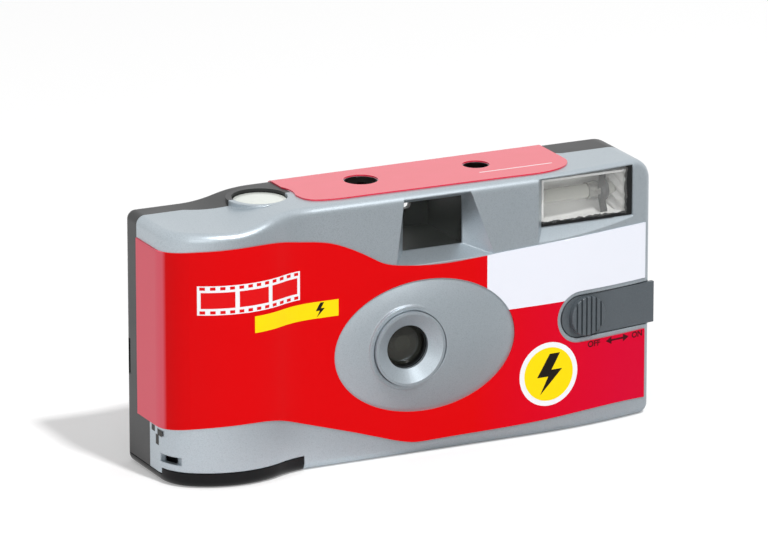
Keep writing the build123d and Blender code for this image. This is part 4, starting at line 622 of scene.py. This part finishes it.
dots = bpy.data.node_groups.new("ring_of_dots", "GeometryNodeTree")
dots.interface.new_socket("Geometry", in_out="OUTPUT", socket_type="NodeSocketGeometry")
for name, kind in (("Count", "NodeSocketInt"), ("Ring radius", "NodeSocketFloat"), ("Dot radius", "NodeSocketFloat")):
    dots.interface.new_socket(name, in_out="INPUT", socket_type=kind)
given = add_node(dots, "NodeGroupInput")
ring = add_node(
    dots, "GeometryNodeMeshCircle", {"Vertices": given.outputs["Count"], "Radius": given.outputs["Ring radius"]}
)
dot = add_node(
    dots, "GeometryNodeMeshCircle", {"Vertices": 12, "Radius": given.outputs["Dot radius"]}, fill_type="NGON"
)
spread = add_node(
    dots, "GeometryNodeInstanceOnPoints", {"Points": ring.outputs["Mesh"], "Instance": dot.outputs["Mesh"]}
)
solid = add_node(dots, "GeometryNodeRealizeInstances", {"Geometry": spread.outputs["Instances"]})
inked = add_node(dots, "GeometryNodeSetMaterial", {"Geometry": solid.outputs["Geometry"], "Material": black_ink})
add_node(dots, "NodeGroupOutput", {"Geometry": inked.outputs["Geometry"]})


def grown(group, sizes):
    """The plain mesh of a Geometry Nodes tree, with its named inputs set to these sizes."""
    host = bpy.data.objects.new("host", bpy.data.meshes.new("host"))
    modifier = host.modifiers.new("tree", "NODES")
    modifier.node_group = group
    for item in group.interface.items_tree:
        if item.name in sizes:
            modifier[item.identifier] = sizes[item.name]
    return evaluated(host)


dot_mesh = grown(dots, {"Count": number_count, "Ring radius": number_radius, "Dot radius": dot_radius})
dot_mesh.transform(
    Matrix.Translation((dial_centre.x, dial_centre.y, dial_top)) @ Matrix.Rotation(math.pi / number_count, 4, "Z")
)
keep("dial_dots", dot_mesh, black_ink, "counter")

# Ready lamp: a small neon bulb under its hole in the top, orange glass that glows once the flash is charged.
# Unlit, it is a dull orange-red dome with a highlight.
neon, tree, place = start_material("orange_neon_glass")
bulb_pitch = 1.0 * mm
bulb = add_node(tree, "ShaderNodeTexNoise", {"Vector": place, "Scale": 1 / bulb_pitch})
tone = add_node(
    tree, "ShaderNodeMix", {0: bulb.outputs["Fac"], 6: linear("8A2A16"), 7: linear("B84A24")}, data_type="RGBA"
)
skin = add_node(
    tree, "ShaderNodeBsdfPrincipled",
    {"Base Color": tone.outputs[2], "Roughness": 0.12, "Transmission Weight": 0.35, "IOR": 1.47},
)
dress(neon, skin, "ready_lamp")

# Shutter button: a domed cap of glossy pale ABS in its silver collar.
# The gloss is high, with the slightest orange-peel. The steel leaf under it is a copy of its spring, which it replaces.
pale_abs, tree, place = start_material("glossy_pale_abs")
button_peel_pitch = 1.2 * mm
peel = add_node(tree, "ShaderNodeTexNoise", {"Vector": place, "Scale": 1 / button_peel_pitch})
dimples = add_node(tree, "ShaderNodeBump", {"Height": peel.outputs["Fac"], "Strength": 0.05, "Distance": 0.03 * mm})
tone = add_node(
    tree, "ShaderNodeMix", {0: peel.outputs["Fac"], 6: linear("DCE2DC"), 7: linear("E6E9E2")}, data_type="RGBA"
)
skin = add_node(
    tree, "ShaderNodeBsdfPrincipled",
    {"Base Color": tone.outputs[2], "Roughness": 0.22, "Normal": dimples.outputs["Normal"]},
)
dress(pale_abs, skin, "shutter_button")

leaf = keep("button_leaf", nodes["button_spring"].data.copy(), spring_steel, "camera")
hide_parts("button_spring")
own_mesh(leaf)

# Flash switch: a slide of dark grey ABS with a round ribbed grip, in its track on the front.
# The plate is satin and the ribs are a shade lighter where they catch the light.
slide_abs, tree, place = start_material("satin_grey_abs")
slide_grain_pitch = 0.3 * mm
grain = add_node(tree, "ShaderNodeTexNoise", {"Vector": place, "Scale": 1 / slide_grain_pitch, "Detail": 2.0})
tone = add_node(
    tree, "ShaderNodeMix", {0: grain.outputs["Fac"], 6: linear("4C5358"), 7: linear("5C646A")}, data_type="RGBA"
)
fine = add_node(tree, "ShaderNodeBump", {"Height": grain.outputs["Fac"], "Strength": 0.15, "Distance": 0.02 * mm})
skin = add_node(
    tree, "ShaderNodeBsdfPrincipled",
    {"Base Color": tone.outputs[2], "Roughness": 0.36, "Normal": fine.outputs["Normal"]},
)
dress(slide_abs, skin, "flash_switch")

# Printed labels: white polypropylene film, printed red, varnished and glued on.
# The front one turns crimson to the right, is painted paler pink where it wraps the side as a painted glare of its
# gloss, and keeps a white panel.
# The glue under each leaves it faintly uneven, and the varnish gives it a gloss.
panel_left = 17.5 * mm
panel_low = 30.6 * mm
crimson_from = 14 * mm
crimson_to = 52 * mm
side_glare_from = -58.5 * mm
side_glare_to = -58.9 * mm
side_glare = 0.55
glue_pitch = 6 * mm
varnish, tree, place = start_material("varnished_printed_film")
axes = add_node(tree, "ShaderNodeSeparateXYZ", {"Vector": place})
drift = add_node(
    tree, "ShaderNodeMapRange", {"Value": axes.outputs["X"], "From Min": crimson_from, "From Max": crimson_to}
)
red = add_node(
    tree, "ShaderNodeMix", {0: drift.outputs["Result"], 6: linear("DC0006"), 7: linear("D60030")}, data_type="RGBA"
)
# Painted glare: towards the left side the red is mixed with pale pink, standing in for the room's reflection on the
# wrapped film.
side = add_node(
    tree, "ShaderNodeMapRange",
    {"Value": axes.outputs["X"], "From Min": side_glare_from, "From Max": side_glare_to, "To Min": 0.0, "To Max": side_glare},
)
red = add_node(
    tree, "ShaderNodeMix", {0: side.outputs["Result"], 6: red.outputs[2], 7: linear("F58296")}, data_type="RGBA"
)
right_of = add_node(tree, "ShaderNodeMath", {0: axes.outputs["X"], 1: panel_left}, operation="GREATER_THAN")
above = add_node(tree, "ShaderNodeMath", {0: axes.outputs["Z"], 1: panel_low}, operation="GREATER_THAN")
panel = add_node(
    tree, "ShaderNodeMath", {0: right_of.outputs["Value"], 1: above.outputs["Value"]}, operation="MULTIPLY"
)
printed = add_node(
    tree, "ShaderNodeMix", {0: panel.outputs["Value"], 6: red.outputs[2], 7: linear("E8EBF4")}, data_type="RGBA"
)
glue = add_node(tree, "ShaderNodeTexNoise", {"Vector": place, "Scale": 1 / glue_pitch, "Detail": 2.0})
waviness = add_node(tree, "ShaderNodeBump", {"Height": glue.outputs["Fac"], "Strength": 0.1, "Distance": 0.1 * mm})
skin = add_node(
    tree, "ShaderNodeBsdfPrincipled",
    {
        "Base Color": printed.outputs[2],
        "Roughness": 0.28,
        "IOR": 1.38,
        "Specular IOR Level": 0.12,
        "Normal": waviness.outputs["Normal"],
    },
)
dress(varnish, skin, "front_label")

rule_y = -3.6 * mm
rule_half_width = 0.22 * mm
rule_x = 29 * mm
rule_half_length = 9 * mm
top_varnish, tree, place = start_material("varnished_red_film")
axes = add_node(tree, "ShaderNodeSeparateXYZ", {"Vector": place})
glue = add_node(tree, "ShaderNodeTexNoise", {"Vector": place, "Scale": 1 / glue_pitch, "Detail": 2.0})
tone = add_node(
    tree, "ShaderNodeMix", {0: glue.outputs["Fac"], 6: linear("E0143A"), 7: linear("E6204A")}, data_type="RGBA"
)
rule = add_node(
    tree, "ShaderNodeMath", {0: axes.outputs["Y"], 1: rule_y, 2: rule_half_width}, operation="COMPARE"
)
rule_run = add_node(
    tree, "ShaderNodeMath", {0: axes.outputs["X"], 1: rule_x, 2: rule_half_length}, operation="COMPARE"
)
ruled = add_node(
    tree, "ShaderNodeMath", {0: rule.outputs["Value"], 1: rule_run.outputs["Value"]}, operation="MULTIPLY"
)
printed = add_node(
    tree, "ShaderNodeMix", {0: ruled.outputs["Value"], 6: tone.outputs[2], 7: linear("F6E4E6")}, data_type="RGBA"
)
waviness = add_node(tree, "ShaderNodeBump", {"Height": glue.outputs["Fac"], "Strength": 0.1, "Distance": 0.1 * mm})
skin = add_node(
    tree, "ShaderNodeBsdfPrincipled",
    {
        "Base Color": printed.outputs[2],
        "Roughness": 0.3,
        "Coat Weight": 0.6,
        "Coat Roughness": 0.12,
        "Normal": waviness.outputs["Normal"],
    },
)
dress(top_varnish, skin, "top_label")

rear_red_from = 36 * mm
back_varnish, tree, place = start_material("varnished_grey_film")
axes = add_node(tree, "ShaderNodeSeparateXYZ", {"Vector": place})
upper = add_node(tree, "ShaderNodeMath", {0: axes.outputs["Z"], 1: rear_red_from}, operation="GREATER_THAN")
tone = add_node(
    tree, "ShaderNodeMix", {0: upper.outputs["Value"], 6: linear("D9DCE0"), 7: linear("E3050F")}, data_type="RGBA"
)
skin = add_node(
    tree, "ShaderNodeBsdfPrincipled",
    {"Base Color": tone.outputs[2], "Roughness": 0.3, "Coat Weight": 0.6, "Coat Roughness": 0.1},
)
dress(back_varnish, skin, "rear_label")

# Printing on the front label: plain motifs in white, yellow and black, and the switch's marks in dark red.
# Each is a film of ink that follows the label's curve, and its outline is in millimetres.
white_ink = screen_ink("white_screen_ink", "ECEEF4", "F6F7FA")
yellow_ink = screen_ink("yellow_screen_ink", "FFDA00", "FFE200")
maroon_ink = screen_ink("dark_red_screen_ink", "3E040E", "500814")
red_ink = screen_ink("red_screen_ink", "DE040B", "E4060F")

label_mesh = nodes["front_label"].data
label_surface = BVHTree.FromPolygons(
    [corner.co for corner in label_mesh.vertices], [face.vertices for face in label_mesh.polygons]
)
slice_pitch = 0.5 * mm


def lay_on_label(name, flat, ink, layers=1):
    """Slices a flat XZ bmesh finely and lays it on the front label as a film of ink."""
    low = min(corner.co.x for corner in flat.verts)
    high = max(corner.co.x for corner in flat.verts)
    for cut in range(1, int((high - low) / slice_pitch) + 1):
        everything = flat.verts[:] + flat.edges[:] + flat.faces[:]
        bmesh.ops.bisect_plane(flat, geom=everything, plane_co=(low + cut * slice_pitch, 0, 0), plane_no=(1, 0, 0))
    for corner in flat.verts:
        in_front = Vector((corner.co.x, -1, corner.co.z))
        point, outwards, face, reach = label_surface.ray_cast(in_front, Vector((0, 1, 0)))
        corner.co = point + outwards.normalized() * ink_lift * layers
    bmesh.ops.recalc_face_normals(flat, faces=flat.faces[:])
    if sum(face.normal.y * face.calc_area() for face in flat.faces) > 0:
        bmesh.ops.reverse_faces(flat, faces=flat.faces[:])
    mesh = bpy.data.meshes.new(name)
    flat.to_mesh(mesh)
    keep(name, mesh, ink, "camera")


def polygon(*outlines):
    """Flat XZ bmesh with one face for each outline, given in millimetres."""
    flat = bmesh.new()
    for outline in outlines:
        flat.faces.new([flat.verts.new((x * mm, 0, z * mm)) for x, z in outline])
    bmesh.ops.triangulate(flat, faces=flat.faces[:])
    return flat


def oblong(left, right, low, high):
    """Outline of an upright rectangle."""
    return [(left, low), (right, low), (right, high), (left, high)]


def bolt(x, z, size):
    """Three outlines that make a lightning bolt, centred on a point."""
    top_left, top_right, notch_right, ear_right = (0.02, 0.5), (0.3, 0.5), (0.07, 0.1), (0.36, 0.1)
    tip, notch_left, ear_left = (-0.24, -0.5), (-0.02, -0.06), (-0.32, -0.06)
    shares = (
        (ear_left, top_left, top_right, notch_right),
        (ear_left, notch_right, notch_left),
        (notch_right, ear_right, tip, notch_left),
    )
    return [[(x + across * size, z + rise * size) for across, rise in part] for part in shares]


def disc(x, z, radius, corners=48):
    """Outline of a round mark."""
    turns = [2 * math.pi * at / corners for at in range(corners)]
    return [(x + radius * math.cos(turn), z + radius * math.sin(turn)) for turn in turns]


strip_left, strip_right, strip_low, strip_high = -53.5, -28.5, 39.8, 46.4
lay_on_label("film_motif", polygon(oblong(strip_left, strip_right, strip_low, strip_high)), white_ink)
bar_left, bar_right, bar_low, bar_high = -41, -19, 34.9, 38.7
lay_on_label("flash_bar", polygon(oblong(bar_left, bar_right, bar_low, bar_high)), yellow_ink)
bar_bolt_x, bar_bolt_z, bar_bolt_size = -23.5, 36.8, 3.3
lay_on_label("flash_bar_bolt", polygon(*bolt(bar_bolt_x, bar_bolt_z, bar_bolt_size)), black_ink, layers=2)

holes = bpy.data.node_groups.new("film_motif_windows", "GeometryNodeTree")
holes.interface.new_socket("Geometry", in_out="OUTPUT", socket_type="NodeSocketGeometry")
for name, kind in (
    ("Columns", "NodeSocketInt"), ("Rows", "NodeSocketInt"),
    ("Width", "NodeSocketFloat"), ("Height", "NodeSocketFloat"),
    ("Hole width", "NodeSocketFloat"), ("Hole height", "NodeSocketFloat"),
):
    holes.interface.new_socket(name, in_out="INPUT", socket_type=kind)
given = add_node(holes, "NodeGroupInput")
lattice = add_node(
    holes, "GeometryNodeMeshGrid",
    {
        "Size X": given.outputs["Width"], "Size Y": given.outputs["Height"],
        "Vertices X": given.outputs["Columns"], "Vertices Y": given.outputs["Rows"],
    },
)
pane = add_node(
    holes, "GeometryNodeMeshGrid",
    {
        "Size X": given.outputs["Hole width"], "Size Y": given.outputs["Hole height"],
        "Vertices X": 4, "Vertices Y": 2,
    },
)
spread = add_node(
    holes, "GeometryNodeInstanceOnPoints", {"Points": lattice.outputs["Mesh"], "Instance": pane.outputs["Mesh"]}
)
solid = add_node(holes, "GeometryNodeRealizeInstances", {"Geometry": spread.outputs["Instances"]})
inked = add_node(holes, "GeometryNodeSetMaterial", {"Geometry": solid.outputs["Geometry"], "Material": white_ink})
add_node(holes, "NodeGroupOutput", {"Geometry": inked.outputs["Geometry"]})

motif_centre = ((strip_left + strip_right) / 2 * mm, (strip_low + strip_high) / 2 * mm)
motif_sizes = {
    "film_motif_holes": {
        "Columns": 12, "Rows": 2, "Width": 23.0 * mm, "Height": 5.4 * mm,
        "Hole width": 1.1 * mm, "Hole height": 0.7 * mm,
    },
    "film_motif_frames": {
        "Columns": 3, "Rows": 1, "Width": 16.4 * mm, "Height": 1 * mm,
        "Hole width": 7.2 * mm, "Hole height": 3.6 * mm,
    },
}
for name, sizes in motif_sizes.items():
    flat = bmesh.new()
    flat.from_mesh(grown(holes, sizes))
    for corner in flat.verts:
        corner.co = Vector((corner.co.x + motif_centre[0], 0, corner.co.y + motif_centre[1]))
    lay_on_label(name, flat, red_ink, layers=2)

badge_x, badge_z = 33.0, 14.2
badge_radius = 7.4
badge_field_radius = 6.2
badge_bolt_size = 9.4
lay_on_label("flash_badge", polygon(disc(badge_x, badge_z, badge_radius)), white_ink)
lay_on_label("flash_badge_field", polygon(disc(badge_x, badge_z, badge_field_radius)), yellow_ink, layers=2)
lay_on_label("flash_badge_bolt", polygon(*bolt(badge_x, badge_z, badge_bolt_size)), black_ink, layers=3)

mark_z = 19.4
mark_height = 1.9 * mm
off_x, on_x = 44.8, 56.8
switch_marks = bmesh.new()
for text, x in (("OFF", off_x), ("ON", on_x)):
    sign = words(text, mark_height)
    sign.transform(Matrix.Translation((x * mm, mark_z * mm, 0)))
    switch_marks.from_mesh(sign)
for corner in switch_marks.verts:
    corner.co = Vector((corner.co.x, 0, corner.co.y))
lay_on_label("switch_words", switch_marks, maroon_ink)
arrow_left, arrow_right = 48.0, 54.4
head_length = 1.6
head_half_width = 0.9
shaft_half_width = 0.2
shaft_left, shaft_right = arrow_left + head_length, arrow_right - head_length
switch_arrow = polygon(
    [(arrow_left, mark_z), (shaft_left, mark_z + head_half_width), (shaft_left, mark_z - head_half_width)],
    oblong(shaft_left, shaft_right, mark_z - shaft_half_width, mark_z + shaft_half_width),
    [(arrow_right, mark_z), (shaft_right, mark_z - head_half_width), (shaft_right, mark_z + head_half_width)],
)
lay_on_label("switch_arrows", switch_arrow, maroon_ink)

# Latch shadows: three small dark marks on the left side, where the film door hooks into the cover.
# They are painted shadow: flat faces of black ink drawn on the side, standing in for the shade in the small openings.
notch_shadow_face = -59.02 * mm
upper_notch_shadow = oblong(-2.9, -1.2, 11.0, 12.4)
front_notch_shadow = [(-4.3, 12.2), (-6.7, 12.0), (-6.7, 10.7), (-4.3, 10.7)]
lower_notch_shadow = oblong(-4.9, -3.4, 8.4, 10.7)
# Painted shadow: three flat outlines that take the black ink.
notch_shadows = polygon(upper_notch_shadow, front_notch_shadow, lower_notch_shadow)
for corner in notch_shadows.verts:
    corner.co = Vector((notch_shadow_face, corner.co.x, corner.co.z))
notch_shadows.normal_update()
turned_in = [face for face in notch_shadows.faces if face.normal.x > 0]
bmesh.ops.reverse_faces(notch_shadows, faces=turned_in)
notch_shadow_mesh = bpy.data.meshes.new("latch_notch_shadows")
notch_shadows.to_mesh(notch_shadow_mesh)
keep("latch_notch_shadows", notch_shadow_mesh, black_ink, "camera")

# Floor: a wide sheet of white paper, matt.
# It shows white, keeps the camera's soft shadow, and is darker where the front right of the case reflects it.
def seen_share(tree, light_path):
    """One for a ray that shows the room: to the camera, off a gloss or through glass; zero for light."""
    direct = add_node(
        tree, "ShaderNodeMath",
        {0: light_path.outputs["Is Camera Ray"], 1: light_path.outputs["Is Glossy Ray"]}, operation="MAXIMUM",
    )
    return add_node(
        tree, "ShaderNodeMath",
        {0: direct.outputs["Value"], 1: light_path.outputs["Is Transmission Ray"]}, operation="MAXIMUM",
    ).outputs["Value"]


paper, tree, place = start_material("white_paper_sweep")
paper_glow = 0.24
light_path = add_node(tree, "ShaderNodeLightPath")
glow = add_node(tree, "ShaderNodeMath", {0: seen_share(tree, light_path), 1: paper_glow}, operation="MULTIPLY")
sheet = add_node(tree, "ShaderNodeBsdfDiffuse", {"Color": linear("E6E6E6")})
lift = add_node(tree, "ShaderNodeEmission", {"Color": (1, 1, 1, 1), "Strength": glow.outputs["Value"]})
both = add_node(tree, "ShaderNodeAddShader", {0: sheet.outputs["BSDF"], 1: lift.outputs["Emission"]})


def dark_share(tree, heading):
    """How far the room is darkened in reflections: none behind and at the left, most at the front right."""
    lit_way = (-0.5, 0.8, 0)
    most_dark = 0.62
    way = add_node(tree, "ShaderNodeVectorMath", {0: heading}, operation="NORMALIZE")
    turned = add_node(
        tree, "ShaderNodeVectorMath", {0: way.outputs["Vector"], 1: lit_way}, operation="DOT_PRODUCT"
    )
    return add_node(
        tree, "ShaderNodeMapRange",
        {"Value": turned.outputs["Value"], "From Min": -0.9, "From Max": -0.1, "To Min": most_dark, "To Max": 0.0},
    ).outputs["Result"]


here = add_node(tree, "ShaderNodeNewGeometry").outputs["Position"]
unlit = add_node(
    tree, "ShaderNodeMath", {0: light_path.outputs["Is Glossy Ray"], 1: dark_share(tree, here)}, operation="MULTIPLY"
)
nothing = add_node(tree, "ShaderNodeEmission", {"Strength": 0.0})
shown = add_node(
    tree, "ShaderNodeMixShader", {0: unlit.outputs["Value"], 1: both.outputs["Shader"], 2: nothing.outputs["Emission"]}
)
dress(paper, shown)
floor_mesh = bpy.data.meshes.new("floor")
floor_reach = 6.0
floor_mesh.from_pydata(
    [(x * floor_reach, y * floor_reach, 0) for x, y in ((-1, -1), (1, -1), (1, 1), (-1, 1))], [], [(0, 1, 2, 3)]
)
floor_mesh.materials.append(paper)
floor = bpy.data.objects.new("floor", floor_mesh)
bpy.context.scene.collection.objects.link(floor)

# Light: a white room that looks darker at the front right in reflections, which gives the silver its shading.
# The lamp above the front throws the soft shadow behind and to the left, and a weak one fills in at the left.
world = bpy.data.worlds.new("white_room")
bpy.context.scene.world = world
world.use_nodes = True
world.node_tree.nodes.clear()
tree = world.node_tree
room_light = 0.5
light_path = add_node(tree, "ShaderNodeLightPath")
heading = add_node(tree, "ShaderNodeTexCoord").outputs["Generated"]
unlit = add_node(
    tree, "ShaderNodeMath", {0: light_path.outputs["Is Glossy Ray"], 1: dark_share(tree, heading)}, operation="MULTIPLY"
)
shown = add_node(tree, "ShaderNodeMapRange", {"Value": unlit.outputs["Value"], "To Min": 1.0, "To Max": 0.0})
level = add_node(
    tree, "ShaderNodeMapRange",
    {"Value": seen_share(tree, light_path), "To Min": room_light, "To Max": shown.outputs["Result"]},
)
room = add_node(tree, "ShaderNodeBackground", {"Color": (1, 1, 1, 1), "Strength": level.outputs["Result"]})
add_node(tree, "ShaderNodeOutputWorld", {"Surface": room.outputs["Background"]})


lamp_aim = Vector((0, 0, 30 * mm))


def add_lamp(name, place, size, power):
    """A square soft lamp that faces the camera body."""
    data = bpy.data.lights.new(name, "AREA")
    data.size = size
    data.energy = power
    lamp = bpy.data.objects.new(name, data)
    lamp.location = place
    lamp.rotation_euler = (Vector(place) - lamp_aim).to_track_quat("Z", "Y").to_euler()
    bpy.context.scene.collection.objects.link(lamp)


add_lamp("key_lamp", place=(0.22, -1.24, 2.09), size=0.16, power=36.0)
add_lamp("front_lamp", place=(-0.7, -1.1, 0.6), size=0.8, power=2.5)

# Photographer's view: from the front left and above, through a long lens.
# The shift, measured in pixels, puts the camera where it sits in the picture.
picture_width = 768
shift_across = -6.573
shift_up = 31.526
view_turn = math.radians(-25.926)
view_tilt = math.radians(17.052)
view_aim = Vector((0, 0.35 * mm, 30 * mm))
view_distance = 1.6
away = Vector((
    math.sin(view_turn) * math.cos(view_tilt),
    -math.cos(view_turn) * math.cos(view_tilt),
    math.sin(view_tilt),
))
view = bpy.data.objects.new("view", bpy.data.cameras.new("view"))
view.location = view_aim + view_distance * away
view.rotation_euler = away.to_track_quat("Z", "Y").to_euler()
view.data.sensor_width = 36
view.data.lens = 337.6
view.data.shift_x = shift_across / picture_width
view.data.shift_y = shift_up / picture_width
view.data.clip_end = 50
bpy.context.scene.collection.objects.link(view)
bpy.context.scene.camera = view
bpy.context.scene.view_settings.view_transform = "Standard"
